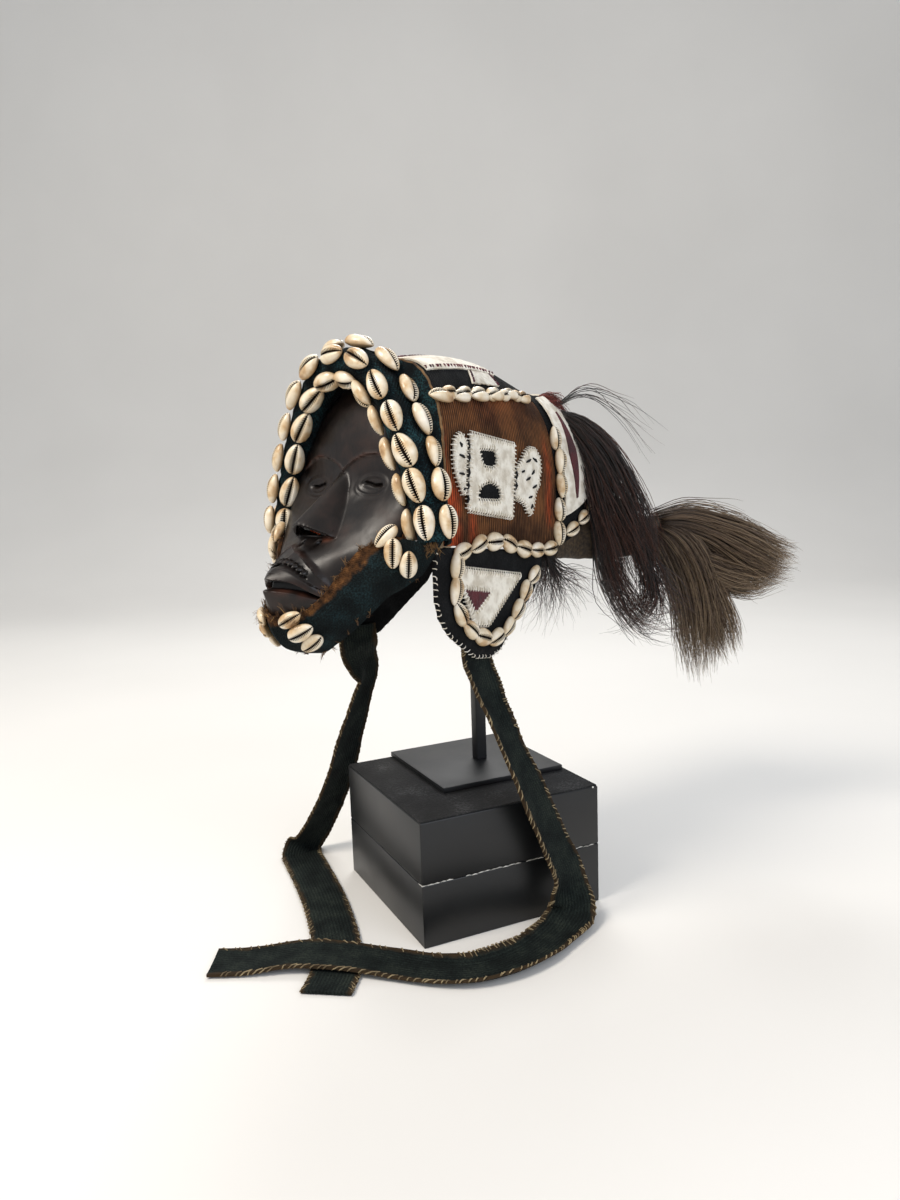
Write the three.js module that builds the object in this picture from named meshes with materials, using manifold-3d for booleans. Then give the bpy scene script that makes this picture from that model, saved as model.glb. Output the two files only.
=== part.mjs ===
import * as THREE from 'three';
import { mergeVertices } from 'three/addons/utils/BufferGeometryUtils.js';
import Module from 'manifold-3d';

const wasm = await Module();
wasm.setup();

// A carved wooden face mask, tied into a cloth hood that is sewn with cowrie shells,
// with two ear flaps, two long tie straps and a tail of hair, on a rod and a black base.
// Millimetres. +Z is up, the face looks along -Y and the wearer's left side is +X.
// The origin is the centre of the base's underside.

// Clearances between pieces that touch
const CONTACT = 0.3;
const CURVED_CONTACT = 0.6;
const FACE_CUT = 1.6;

// The stand: two stacked blocks, a thin plate and a square rod
const BASE_SIDE = 148;
const BLOCK_HEIGHT = 46.5;
const BASE_TURN = -19.5;
const PLATE_SIDE = 105;
const PLATE_THICK = 4;
const PLATE_AT = [-14, 23];
const ROD_SIDE = 9;
const ROD_AT = [-11, 27];
const ROD_TOP = 401;
const BASE_TOP = 2 * BLOCK_HEIGHT + CONTACT;
const PLATE_TOP = BASE_TOP + CONTACT + PLATE_THICK;

// The mirror plane of the mask and hood
const CENTRE_X = -11;

// The face: half width, rim and centre line of its front, all by height
const FACE_LOW = 217;
const FACE_HIGH = 396;
const FACE_WALL = 9;
const FACE_RIM_WALL = 5;
const FACE_COLUMNS = 12;
const FACE_ROWS = 20;
const faceCentre = through([
  [217, -143], [223, -154], [231, -160], [242, -163], [252, -167], [262, -169], [268, -166], [278, -152],
  [291, -131], [305, -117], [320, -108], [337, -101], [360, -97], [380, -90], [392, -83], [396, -79],
]);
const faceHalfWidth = through([
  [217, 9], [223, 18], [232, 26], [245, 35], [258, 44], [272, 53], [288, 61], [305, 66],
  [325, 67], [345, 63], [362, 54], [378, 42], [390, 27], [396, 14],
]);
const faceRim = through([
  [217, -140], [232, -136], [250, -128], [270, -118], [288, -108], [305, -99], [325, -93], [350, -86],
  [396, -74],
]);

// The broken nose: heights and depths of its root, sliced tip and lower edge, and the hole in the slice
const NOSE_ROOT = 335;
const NOSE_ROOT_Y = -101;
const NOSE_TIP = 301.5;
const NOSE_TIP_Y = -143.7;
const NOSE_LOW = 292;
const NOSE_LOW_Y = -128.7;
const NOSE_HALF = 22;
const NOSE_HOLE = [[-19.8, 292.7], [19.8, 292.7], [0, 300.8]];
const NOSE_HOLE_DEPTH = 10;

// Carving, by distance out and height
const SOCKET_DEPTH = 4.5;
const EYE = [29.5, 325.5];
const NOSTRIL = [8.4, 287.2];
const BROW = [[0.5, 335.5], [13, 343], [31, 346], [46, 341]];
const MUZZLE_RIDGE = [[2, 289], [13, 281.5], [27, 268], [31.5, 261.5]];
const UPPER_LIP = [[-28, 261], [-14, 267], [0, 270.5], [14, 267], [28, 261]];
const LOWER_LIP = [[-27, 252], [-14, 254.5], [0, 256], [14, 254.5], [27, 252]];
const MOUTH = [[-30, 255], [-20, 258.6], [0, 263.5], [20, 258.6], [30, 255]];
const TOOTH_GAPS = [-12.3, -4.8, 4.8, 12.3];
const TOOTH_HEIGHT = 275.5;

// The collar that joins the border to the hood
const COLLAR_THICK = 2;
const COLLAR_GAP = 2.2;

// The cowrie shells
const SHELL_PITCH = 24;
const SHELL_WIDTH = 16.5;
const SHELL_HEIGHT = 8.5;

// The padded border round the face
const BORDER_RADIUS = 12;
const BORDER_HALF_WIDTH = 78;
const BORDER_LOW = 288;
const BORDER_SHOULDER = 300;
const BORDER_TOP = 407;
const BORDER_POWER = 2.38;
const BORDER_Y = -93;

// The hood: a straight length from front to back, then a rounded back
const HOOD_FRONT = -80;
const HOOD_BACK = 65;
const HOOD_LENGTH = HOOD_BACK - HOOD_FRONT;
const HOOD_FRONT_HALF = 77;
const HOOD_BACK_HALF = 54;
const HOOD_SHOULDER_FRONT = 350;
const HOOD_SHOULDER_BACK = 315;
const CROWN_TOP = 413;
const CROWN_TOP_Y = -27;
const CROWN_FALL = 0.0022;
const HOOD_HEM_FRONT = 284;
const HOOD_HEM_BACK = 272;
const HOOD_SEAM_FRONT = 380;
const HOOD_SEAM_BACK = 384;
const HOOD_REACH = 100;
const HOOD_NAPE_RISE = 60;
const NAPE_POWER = 1.6;
const DOME_LENGTH = 100;
const CLOTH = 3;

const toRadians = THREE.MathUtils.degToRad;
const mix = THREE.MathUtils.lerp;
const vector = (x, y, z) => new THREE.Vector3(x, y, z);

// A smooth function of one number through a short table of points
function through(table) {
  const places = table.map((row) => row[0]);
  const curve = new THREE.CubicInterpolant(places, table.map((row) => row[1]), 1, [0]);
  return (place) => curve.evaluate(THREE.MathUtils.clamp(place, places[0], places.at(-1)))[0];
}

// Geometry helpers

// A geometry from points and triangles, with its faces turned outwards
function closedGeometry(points, faces) {
  let volume = 0;
  for (const [a, b, c] of faces) {
    volume += points[a].dot(points[b].clone().cross(points[c]));
  }
  const turned = volume < 0 ? faces.map(([a, b, c]) => [a, c, b]) : faces;
  const geometry = new THREE.BufferGeometry();
  geometry.setAttribute('position', new THREE.Float32BufferAttribute(points.flatMap((p) => p.toArray()), 3));
  geometry.setIndex(turned.flat());
  return geometry;
}

// Only positions, with shared vertices merged and collapsed triangles dropped
function welded(geometry) {
  const bare = geometry.clone();
  bare.deleteAttribute('normal');
  bare.deleteAttribute('uv');
  const merged = mergeVertices(bare, 1e-4);
  const index = merged.index.array;
  const kept = [];
  for (let i = 0; i < index.length; i += 3) {
    const [a, b, c] = [index[i], index[i + 1], index[i + 2]];
    if (a !== b && b !== c && c !== a) {
      kept.push(a, b, c);
    }
  }
  merged.setIndex(kept);
  return merged;
}

function toSolid(geometry) {
  const merged = welded(geometry);
  return new wasm.Manifold(new wasm.Mesh({
    numProp: 3,
    vertProperties: new Float32Array(merged.attributes.position.array),
    triVerts: new Uint32Array(merged.index.array),
  }));
}

// The largest closed body of a solid, as a geometry
function fromSolid(solid) {
  const largest = solid.decompose().sort((a, b) => b.volume() - a.volume())[0];
  const mesh = largest.getMesh();
  const geometry = new THREE.BufferGeometry();
  geometry.setAttribute('position', new THREE.BufferAttribute(new Float32Array(mesh.vertProperties), 3));
  geometry.setIndex(new THREE.BufferAttribute(new Uint32Array(mesh.triVerts), 1));
  return geometry;
}

const joined = ([first, ...others]) => others.reduce((sum, other) => sum.add(toSolid(other)), toSolid(first));

// The same shape on the other side of the mirror plane
function mirrored(geometry) {
  const copy = welded(geometry);
  const position = copy.attributes.position;
  for (let i = 0; i < position.count; i += 1) {
    position.setX(i, 2 * CENTRE_X - position.getX(i));
  }
  const index = copy.index.array;
  for (let i = 0; i < index.length; i += 3) {
    [index[i + 1], index[i + 2]] = [index[i + 2], index[i + 1]];
  }
  return copy;
}

// A closed sheet between two offsets of a surface given by a function of u and v, both from 0 to 1
function sheet(surface, columns, rows, low, high) {
  const step = 1e-3;
  const normalAt = (u, v) => {
    const [u0, u1] = [Math.max(u - step, 0), Math.min(u + step, 1)];
    const [v0, v1] = [Math.max(v - step, 0), Math.min(v + step, 1)];
    const along = surface(u1, v).sub(surface(u0, v));
    return along.cross(surface(u, v1).sub(surface(u, v0))).normalize();
  };
  const points = [];
  for (const offset of [low, high]) {
    for (let j = 0; j <= rows; j += 1) {
      for (let i = 0; i <= columns; i += 1) {
        const [u, v] = [i / columns, j / rows];
        points.push(surface(u, v).addScaledVector(normalAt(u, v), offset));
      }
    }
  }
  return closedGeometry(points, gridShellFaces(columns, rows));
}

// Triangles of two facing grids and the wall between their edges
function gridShellFaces(columns, rows) {
  const layer = (columns + 1) * (rows + 1);
  const at = (i, j, k) => k * layer + j * (columns + 1) + i;
  const faces = [];
  const quad = (a, b, c, d) => faces.push([a, b, c], [a, c, d]);
  for (let j = 0; j < rows; j += 1) {
    for (let i = 0; i < columns; i += 1) {
      quad(at(i, j, 1), at(i + 1, j, 1), at(i + 1, j + 1, 1), at(i, j + 1, 1));
      quad(at(i, j, 0), at(i, j + 1, 0), at(i + 1, j + 1, 0), at(i + 1, j, 0));
    }
  }
  for (let i = 0; i < columns; i += 1) {
    quad(at(i, 0, 0), at(i + 1, 0, 0), at(i + 1, 0, 1), at(i, 0, 1));
    quad(at(i, rows, 1), at(i + 1, rows, 1), at(i + 1, rows, 0), at(i, rows, 0));
  }
  for (let j = 0; j < rows; j += 1) {
    quad(at(0, j, 1), at(0, j + 1, 1), at(0, j + 1, 0), at(0, j, 0));
    quad(at(columns, j, 0), at(columns, j + 1, 0), at(columns, j + 1, 1), at(columns, j, 1));
  }
  return faces;
}

// A closed body through rings of points, with a flat fan at each end
function loft(rings) {
  const sides = rings[0].length;
  const points = rings.flat();
  const faces = [];
  for (let j = 0; j < rings.length - 1; j += 1) {
    for (let i = 0; i < sides; i += 1) {
      const [a, b] = [j * sides + i, j * sides + ((i + 1) % sides)];
      faces.push([a, b, b + sides], [a, b + sides, a + sides]);
    }
  }
  const last = (rings.length - 1) * sides;
  for (let i = 1; i < sides - 1; i += 1) {
    faces.push([0, i + 1, i], [last, last + i, last + i + 1]);
  }
  return closedGeometry(points, faces);
}

// A round or oval body along a curve; radii are a function of the share of its length
function tapered(curve, steps, sides, radiusAcross, radiusUp) {
  const rings = [];
  for (let j = 0; j <= steps; j += 1) {
    const share = j / steps;
    const centre = curve.getPoint(share);
    const along = curve.getTangent(share);
    const across = vector(along.y, -along.x, 0).normalize();
    const up = across.clone().cross(along).normalize();
    const ring = [];
    for (let i = 0; i < sides; i += 1) {
      const turn = (2 * Math.PI * i) / sides;
      ring.push(centre.clone()
        .addScaledVector(across, radiusAcross(share) * Math.cos(turn))
        .addScaledVector(up, radiusUp(share) * Math.sin(turn)));
    }
    rings.push(ring);
  }
  return loft(rings);
}

const curveThrough = (points) => new THREE.CatmullRomCurve3(points.map((p) => vector(...p)));

// The stand

function turnedBox(width, depth, height) {
  return new THREE.BoxGeometry(width, depth, height).rotateZ(toRadians(BASE_TURN));
}

// The face

// How a level section falls back from the centre line to the rim: round, but a ridged wedge at the muzzle
function sectionShare(share, z) {
  const round = 1 - Math.pow(1 - Math.pow(share, 2.3), 0.62);
  const wedge = Math.pow(share, 1.2);
  const muzzle = Math.exp(-(((z - 268) / 22) ** 2));
  return mix(round, wedge, muzzle);
}

// Y of the nose: a wedge growing out below the brow, its tip sliced off forwards and down
function noseY(across, z, cheek) {
  const wing = mix(4, NOSE_HALF, (NOSE_ROOT - z) / (NOSE_ROOT - NOSE_LOW));
  const ridge = mix(NOSE_ROOT_Y, NOSE_TIP_Y, (NOSE_ROOT - z) / (NOSE_ROOT - NOSE_TIP));
  const roof = mix(ridge, cheek, Math.min(Math.abs(across) / wing, 1) ** 1.7);
  const slice = mix(NOSE_LOW_Y, NOSE_TIP_Y, (z - NOSE_LOW) / (NOSE_TIP - NOSE_LOW));
  return Math.max(roof, slice);
}

// Y of the front of the face at a distance across and a height
function faceY(across, z) {
  const share = Math.min(Math.abs(across) / faceHalfWidth(z), 1);
  const socket = Math.exp(-(((Math.abs(across) - 30) / 17) ** 2) - ((z - 322) / 12) ** 2);
  const cheek = mix(faceCentre(z), faceRim(z), sectionShare(share, z)) + SOCKET_DEPTH * socket;
  if (z <= NOSE_LOW - 2 || z >= NOSE_ROOT) {
    return cheek;
  }
  return Math.min(cheek, noseY(across, z, cheek));
}

const onFace = (across, z, sunk = 0) => vector(CENTRE_X + across, faceY(across, z) + sunk, z);

// The carved shell; grow swells it for cutting what lies against it
function faceShell(grow, columns = FACE_COLUMNS, rows = FACE_ROWS) {
  const points = [];
  for (const layer of [0, 1]) {
    for (let j = 0; j <= rows; j += 1) {
      const z = mix(FACE_LOW, FACE_HIGH, j / rows);
      for (let i = 0; i <= columns; i += 1) {
        const share = (2 * i) / columns - 1;
        const across = share * faceHalfWidth(z);
        const wall = mix(FACE_WALL, FACE_RIM_WALL, Math.abs(share) ** 3);
        const hollow = mix(faceCentre(z) + wall, faceRim(z) + wall, Math.abs(share) ** 2.3);
        const y = layer === 0 ? faceY(across, z) - grow : Math.max(hollow, faceY(across, z) + wall) + grow;
        const swell = grow * Math.sign(z - (FACE_LOW + FACE_HIGH) / 2) * (j === 0 || j === rows ? 1 : 0);
        points.push(vector(CENTRE_X + across + grow * share, y, z + swell));
      }
    }
  }
  return closedGeometry(points, gridShellFaces(columns, rows));
}

// A raised line of carving along points given by distance across and height
function raisedLine(places, radius, sunk, steps = 5) {
  const curve = new THREE.CatmullRomCurve3(places.map(([across, z]) => onFace(across, z, sunk)));
  const swell = (share) => radius * (0.35 + 0.65 * Math.sin(Math.PI * share));
  return tapered(curve, steps, 5, swell, swell);
}

function ellipsoid(place, across, deep, high, sides = 6) {
  return new THREE.SphereGeometry(1, sides, sides === 6 ? 4 : 5)
    .rotateX(Math.PI / 2)
    .scale(across, deep, high)
    .translate(place.x, place.y, place.z);
}

function faceMask() {
  const raised = [faceShell(0)];
  const cuts = [];
  const sided = (side, places) => places.map(([across, z]) => [side * across, z]);
  for (const side of [-1, 1]) {
    // A brow arc from the V between the eyes, and the ridge of the muzzle down to the mouth's corner
    raised.push(raisedLine(sided(side, BROW), 2, 0.9));
    raised.push(raisedLine(sided(side, MUZZLE_RIDGE), 3, 1.2));
    // Lids round a narrow slit
    raised.push(ellipsoid(onFace(side * EYE[0], EYE[1], 1.5), 12, 4, 5.4, 8));
    cuts.push(ellipsoid(onFace(side * EYE[0], EYE[1], -2.6), 9, 4.6, 1));
    cuts.push(ellipsoid(onFace(side * NOSTRIL[0], NOSTRIL[1], 0), 1.3, 3, 1.3));
  }
  // The three-cornered hole where the nose's tip was sliced off
  const holeAt = (across, z, y) => vector(CENTRE_X + across, y, z);
  cuts.push(laid(NOSE_HOLE, [], holeAt, NOSE_TIP_Y - 5, NOSE_LOW_Y + NOSE_HOLE_DEPTH));
  // Lips with an open slit between them
  raised.push(raisedLine(UPPER_LIP, 4.6, 2.2, 6));
  raised.push(raisedLine(LOWER_LIP, 5.5, 2.4, 6));
  const slit = new THREE.CatmullRomCurve3(MOUTH.map(([across, z]) => onFace(across, z, -3)));
  cuts.push(tapered(slit, 6, 4, () => 7.5, (s) => 0.4 + 1.6 * Math.sin(Math.PI * s)));
  // Notches between the small teeth over the upper lip
  for (const across of TOOTH_GAPS) {
    cuts.push(ellipsoid(onFace(across, TOOTH_HEIGHT - 0.2 * Math.abs(across), -0.6), 0.9, 3, 2.4));
  }
  return fromSolid(joined(raised).subtract(joined(cuts)));
}

// The border: a roll of cloth along an arch, with three rows of shells

function borderPoint(share, halfWidth, top) {
  const turn = Math.PI * share;
  const across = halfWidth * Math.sign(Math.cos(turn)) * Math.abs(Math.cos(turn)) ** (2 / BORDER_POWER);
  return vector(CENTRE_X + across, BORDER_Y, BORDER_SHOULDER + (top - BORDER_SHOULDER) * Math.sin(turn) ** 2);
}

function borderCurve() {
  const points = [vector(CENTRE_X + BORDER_HALF_WIDTH + 1, BORDER_Y, BORDER_LOW)];
  const steps = 14;
  for (let i = 0; i <= steps; i += 1) {
    points.push(borderPoint(i / steps, BORDER_HALF_WIDTH, BORDER_TOP));
  }
  points.push(vector(CENTRE_X - BORDER_HALF_WIDTH - 1, BORDER_Y, BORDER_LOW));
  const curve = new THREE.CatmullRomCurve3(points);
  curve.arcLengthDivisions = 400;
  return curve;
}
const arch = borderCurve();

// The direction across the arch at a share of its length, turned from forward (0) to outward (90)
function archNormal(share, degrees) {
  const along = arch.getTangentAt(share);
  const forward = vector(0, -1, 0);
  const outward = forward.clone().cross(along).normalize();
  if (outward.dot(vector(arch.getPointAt(share).x - CENTRE_X, 0, 0.02)) < 0 || outward.z < -0.2) {
    outward.negate();
  }
  const angle = toRadians(degrees);
  return forward.multiplyScalar(Math.cos(angle)).addScaledVector(outward, Math.sin(angle));
}

// The outer row lies further back on the roll at its shoulders
const outerDegrees = (share) => 91 + 20 * Math.sin(2 * Math.PI * share) ** 2;

function borderRoll() {
  const steps = 20;
  const sides = 8;
  const rings = [];
  for (let j = 0; j <= steps; j += 1) {
    const ring = [];
    for (let i = 0; i < sides; i += 1) {
      const normal = archNormal(j / steps, (360 * i) / sides + 22.5);
      ring.push(arch.getPointAt(j / steps).addScaledVector(normal, BORDER_RADIUS));
    }
    rings.push(ring);
  }
  return loft(rings);
}

// Cowrie shells

// Shells end to end along places; each place has a point on the cloth and the direction away from it
function shellRow(placeAt, count, pitchShare, width = SHELL_WIDTH, height = SHELL_HEIGHT) {
  const rings = [];
  const ringAt = (share, scale) => {
    const { point, normal } = placeAt(share);
    const ahead = placeAt(Math.min(share + 1e-3, 1)).point;
    const behind = placeAt(Math.max(share - 1e-3, 0)).point;
    const across = ahead.sub(behind).cross(normal).normalize();
    const middle = CURVED_CONTACT + height * 0.42;
    const corners = [[-0.46, -0.42], [0.46, -0.42], [0.36, 0.5], [-0.36, 0.5]];
    rings.push(corners.map(([x, y]) => point.clone()
      .addScaledVector(across, x * width * scale)
      .addScaledVector(normal, middle + y * height * scale)));
  };
  ringAt(0, 0.22);
  for (let i = 0; i < count; i += 1) {
    ringAt((i + 0.3) * pitchShare, 1);
    ringAt((i + 0.7) * pitchShare, 0.96);
    ringAt((i + 1) * pitchShare, 0.22);
  }
  return loft(rings);
}

function borderRow(degrees, grow = 0) {
  const placeAt = (share) => {
    const normal = archNormal(share, typeof degrees === 'function' ? degrees(share) : degrees);
    return { point: arch.getPointAt(share).addScaledVector(normal, BORDER_RADIUS - grow), normal };
  };
  let length = 0;
  for (let i = 0; i < 60; i += 1) {
    length += placeAt(i / 60).point.distanceTo(placeAt((i + 1) / 60).point);
  }
  const count = Math.round(length / SHELL_PITCH);
  return shellRow(placeAt, count, 1 / count, SHELL_WIDTH + 2 * grow, SHELL_HEIGHT + 2 * grow);
}

// A row of shells on a line of points, facing away from the cloth by a direction at each point
function shellLine(points, normals, count, width, height) {
  const line = curveThrough(points);
  const facing = curveThrough(normals);
  const placeAt = (share) => ({ point: line.getPointAt(share), normal: facing.getPoint(share).normalize() });
  return shellRow(placeAt, count, 1 / count, width, height);
}

// The hood

const alongHood = (y) => (y - HOOD_FRONT) / HOOD_LENGTH;
const hoodHalf = (y) => mix(HOOD_FRONT_HALF, HOOD_BACK_HALF, alongHood(y));
const shoulderZ = (y) => mix(HOOD_SHOULDER_FRONT, HOOD_SHOULDER_BACK, alongHood(y));
const crownZ = (y) => CROWN_TOP - CROWN_FALL * (y - CROWN_TOP_Y) ** 2;
const roundness = (y) => mix(0.4, 0.7, alongHood(y));
const hemZ = (y) => mix(HOOD_HEM_FRONT, HOOD_HEM_BACK, alongHood(y));
const seamZ = (y) => mix(HOOD_SEAM_FRONT, HOOD_SEAM_BACK, alongHood(y));

// The hood's half width at a place along it and a height
function hoodAcross(y, z) {
  const rise = THREE.MathUtils.clamp((z - shoulderZ(y)) / (crownZ(y) - shoulderZ(y)), 0, 1);
  return hoodHalf(y) * Math.pow(1 - rise * rise, roundness(y) / 2);
}

const sidePoint = (y, z) => vector(CENTRE_X + hoodAcross(y, z), y, z);
const sideSurface = (u, v) => {
  const y = mix(HOOD_FRONT, HOOD_BACK - CONTACT, u);
  return sidePoint(y, mix(hemZ(y), seamZ(y), v));
};

// Distance back along the side panel, and height, to a point a little off its outer face
const SIDE_DIRECTION = vector(HOOD_BACK_HALF - HOOD_FRONT_HALF, HOOD_LENGTH, 0).normalize();
const SIDE_NORMAL = vector(SIDE_DIRECTION.y, -SIDE_DIRECTION.x, 0);
function offSide(back, z, off) {
  return sidePoint(HOOD_FRONT + back * SIDE_DIRECTION.y, z).addScaledVector(SIDE_NORMAL, off);
}

// The flap hangs in the side panel's plane
const offFlap = (back, z, off) => vector(CENTRE_X + HOOD_FRONT_HALF, HOOD_FRONT, z)
  .addScaledVector(SIDE_DIRECTION, back).addScaledVector(SIDE_NORMAL, off);

function crownSurface(u, v) {
  const y = mix(HOOD_FRONT, HOOD_BACK - CONTACT, v);
  const start = Math.asin((seamZ(y) + 1.2 - shoulderZ(y)) / (crownZ(y) - shoulderZ(y)));
  const turn = mix(start, Math.PI - start, u);
  const across = hoodHalf(y) * Math.sign(Math.cos(turn)) * Math.abs(Math.cos(turn)) ** roundness(y);
  return vector(CENTRE_X + across, y, shoulderZ(y) + (crownZ(y) - shoulderZ(y)) * Math.sin(turn));
}

// The rounded back: straight down to an arched hem, and a dome above
function backSurface(u, v) {
  const turn = Math.PI * u;
  const hem = HOOD_HEM_BACK + HOOD_NAPE_RISE * Math.sin(turn) ** NAPE_POWER;
  const high = crownZ(HOOD_BACK) - HOOD_SHOULDER_BACK;
  const straight = Math.max(HOOD_SHOULDER_BACK - hem, 0);
  const split = straight / (straight + DOME_LENGTH);
  const above = Math.asin(Math.max(hem - HOOD_SHOULDER_BACK, 0) / high);
  const lift = v < split ? 0 : mix(above, toRadians(88), (v - split) / (1 - split));
  const z = v < split ? mix(hem, HOOD_SHOULDER_BACK, v / split) : HOOD_SHOULDER_BACK + high * Math.sin(lift);
  const across = HOOD_BACK_HALF * Math.cos(lift) ** 0.7;
  const reach = HOOD_REACH * Math.cos(lift) * Math.sin(turn);
  return vector(CENTRE_X + across * Math.cos(turn), HOOD_BACK + 0.5 + reach, z);
}

// The hood's front edge by a share of its length, from the near lower corner over the top
const EDGE_STEPS = 40;
const EDGE_SIDE_SHARE = 0.24;
const frontEdge = new THREE.CatmullRomCurve3(Array.from({ length: EDGE_STEPS + 1 }, (_, i) => {
  const share = i / EDGE_STEPS;
  if (share >= EDGE_SIDE_SHARE && share <= 1 - EDGE_SIDE_SHARE) {
    return crownSurface((share - EDGE_SIDE_SHARE) / (1 - 2 * EDGE_SIDE_SHARE), 0);
  }
  const point = sideSurface(0, Math.min(share, 1 - share) / EDGE_SIDE_SHARE);
  return share < 0.5 ? point : vector(2 * CENTRE_X - point.x, point.y, point.z);
}));

// The border's collar, from the roll back to the hood's front edge
function collarSurface(u, v) {
  const start = arch.getPointAt(u).addScaledVector(archNormal(u, outerDegrees(u) + 48), BORDER_RADIUS - 1);
  return start.lerp(frontEdge.getPointAt(u).add(vector(0, -COLLAR_GAP, 0)), v);
}

// Cloth and felt pieces cut to an outline and laid on a surface
function laid(outline, holes, place, low, high) {
  const corners = outline.map(([a, b]) => new THREE.Vector2(a, b));
  if (THREE.ShapeUtils.isClockWise(corners)) {
    corners.reverse();
  }
  const shape = new THREE.Shape(corners);
  shape.holes = holes.map((hole) => new THREE.Path(hole.map(([a, b]) => new THREE.Vector2(a, b))));
  const flat = welded(new THREE.ExtrudeGeometry(shape, { depth: 1, bevelEnabled: false, curveSegments: 6 }));
  const position = flat.attributes.position;
  const points = [];
  for (let i = 0; i < position.count; i += 1) {
    points.push(place(position.getX(i), position.getY(i), mix(low, high, position.getZ(i))));
  }
  const index = flat.index.array;
  const faces = [];
  for (let i = 0; i < index.length; i += 3) {
    faces.push([index[i], index[i + 1], index[i + 2]]);
  }
  return closedGeometry(points, faces);
}

// The jaw cloth: a bent strip from one end of the border, round the jaw and chin, to the other end

// Points from the middle of the chin out to the left end: front hem, fullest line and back edge
const jawHem = curveThrough([
  [0, -169, 243], [12, -163, 243.5], [21, -157, 246], [29, -148, 255], [36, -138, 269], [45, -127, 284],
  [60, -113, 291],
]);
const jawFull = curveThrough([
  [0, -168, 219], [18, -160, 223], [34, -146, 238], [48, -132, 252], [64, -119, 265], [75, -112, 273],
  [84, -107, 282],
]);
const jawBack = curveThrough([
  [0, -140, 213], [18, -134, 217], [34, -123, 232], [50, -111, 250], [68, -100, 264], [78, -96, 274],
  [86, -92, 285],
]);

function jawSurface(u, v) {
  const out = Math.abs(2 * u - 1);
  const side = u < 0.5 ? 1 : -1;
  const point = jawHem.getPoint(out).multiplyScalar((1 - v) ** 2)
    .addScaledVector(jawFull.getPoint(out), 2 * v * (1 - v))
    .addScaledVector(jawBack.getPoint(out), v * v);
  return vector(CENTRE_X + side * point.x, point.y, point.z);
}

// Shells on a surface between two places, each a u and a v; turned says which way faces out
function rowOn(surface, from, to, count, turned, width, height) {
  const step = 2e-3;
  const placeAt = (share) => {
    const [u, v] = [mix(from[0], to[0], share), mix(from[1], to[1], share)];
    const point = surface(u, v);
    const normal = surface(Math.min(u + step, 1), v).sub(surface(Math.max(u - step, 0), v))
      .cross(surface(u, Math.min(v + step, 1)).sub(surface(u, Math.max(v - step, 0)))).normalize();
    return { point, normal: normal.multiplyScalar(turned) };
  };
  return shellRow(placeAt, count, 1 / count, width, height);
}

// Cowries beside the border's ends and by the chin: from and to, by u and v
const CHEEK_ROW = [[0.01, 0.06], [0.085, 0.66]];
const CHIN_ROW = [[0.405, 0.04], [0.405, 0.66]];

// The felt on the hood's back stays above the shells on its arched hem
const BACK_FELT_U = [0.045, 0.955];
const BACK_FELT_V = [0.17, 0.8];

// The felt on the crown: a band along the middle with an arm on each side
const CROWN_BAND_U = [0.2, 0.8];
const CROWN_BAND_V = [0.03, 0.62];
const CROWN_ARM_U = [0.1, 0.19];
const CROWN_ARM_V = [0.37, 0.57];
const CROWN_FELT_LOW = 0.5;
const CROWN_FELT_HIGH = 2;

// Part of a surface, by the corners of a box in u and v
const within = (surface, [u0, u1], [v0, v1]) => (u, v) => surface(mix(u0, u1, u), mix(v0, v1, v));

// The ear flaps

const FLAP_THICK = 2.6;
const flapOutline = [
  [124, 270.4], [0, 283.2], [-11, 283], [-13.5, 268], [-13.5, 250.2], [-9.7, 236.7], [0.4, 223.5],
  [17.5, 211.6], [30.3, 203.6], [49.4, 202], [61, 202.6], [73.1, 211.1], [92.1, 225.9], [111.8, 240.5],
  [125, 258.1],
];

const earFlap = () => laid(flapOutline, [], offFlap, -FLAP_THICK, 0);

// Felt pieces on the flap, and on the side panel: centre with two cut-outs, and a wing on each side
const FELT_LOW = 0.4;
const FELT_HIGH = 1.9;
const SIDE_FELT_LOW = 1.7;
const SIDE_FELT_HIGH = 3.2;
const RED_THICK = 1.2;
// The black patches lie a little below the felt round them, clear of its cut edges
const PATCH_HIGH = SIDE_FELT_HIGH - 0.7;
const PATCH_GAP = 0.6;
const flapFelt = [[9.4, 269.2], [90.3, 255.1], [45.8, 224.3], [26.7, 226.9]];
const flapRed = [[15.5, 253.8], [48.4, 247.8], [28.5, 235.9]];
const sideCentre = [[29, 357.7], [85.5, 350.1], [78.6, 297.6], [22.6, 306.1]];
const upperCutout = [[38.5, 347.3], [58.4, 346.2], [60.4, 338], [55.2, 333.3], [43.8, 334.5], [40.3, 339]];
const lowerCutout = [
  [35.4, 312.3], [36.3, 319], [41, 323], [50.9, 324.5], [59.6, 321.8], [64.1, 316.1], [62.7, 310.5],
];
const frontWing = [
  [9, 351.1], [13.3, 355.4], [18.5, 356.8], [21.9, 354.1], [24.4, 349.8], [22.6, 338.4], [20.8, 319.9],
  [18.1, 316], [12.8, 324.4], [8.1, 344.2],
];
const rearWing = [
  [87, 334.7], [99.3, 343.9], [107.1, 347.4], [115.1, 346.6], [120.7, 339.8], [120.7, 330.9], [117.9, 322],
  [112.6, 315.8], [109, 305.5], [105.2, 298.3], [100.9, 299.5], [96.5, 306.9], [88.1, 310.4], [83, 311.5],
];

function insetOutline(outline, amount) {
  const average = (axis) => outline.reduce((sum, corner) => sum + corner[axis], 0) / outline.length;
  const centre = [average(0), average(1)];
  return outline.map(([a, b]) => {
    const length = Math.hypot(a - centre[0], b - centre[1]);
    const share = 1 - amount / length;
    return [centre[0] + (a - centre[0]) * share, centre[1] + (b - centre[1]) * share];
  });
}

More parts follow.
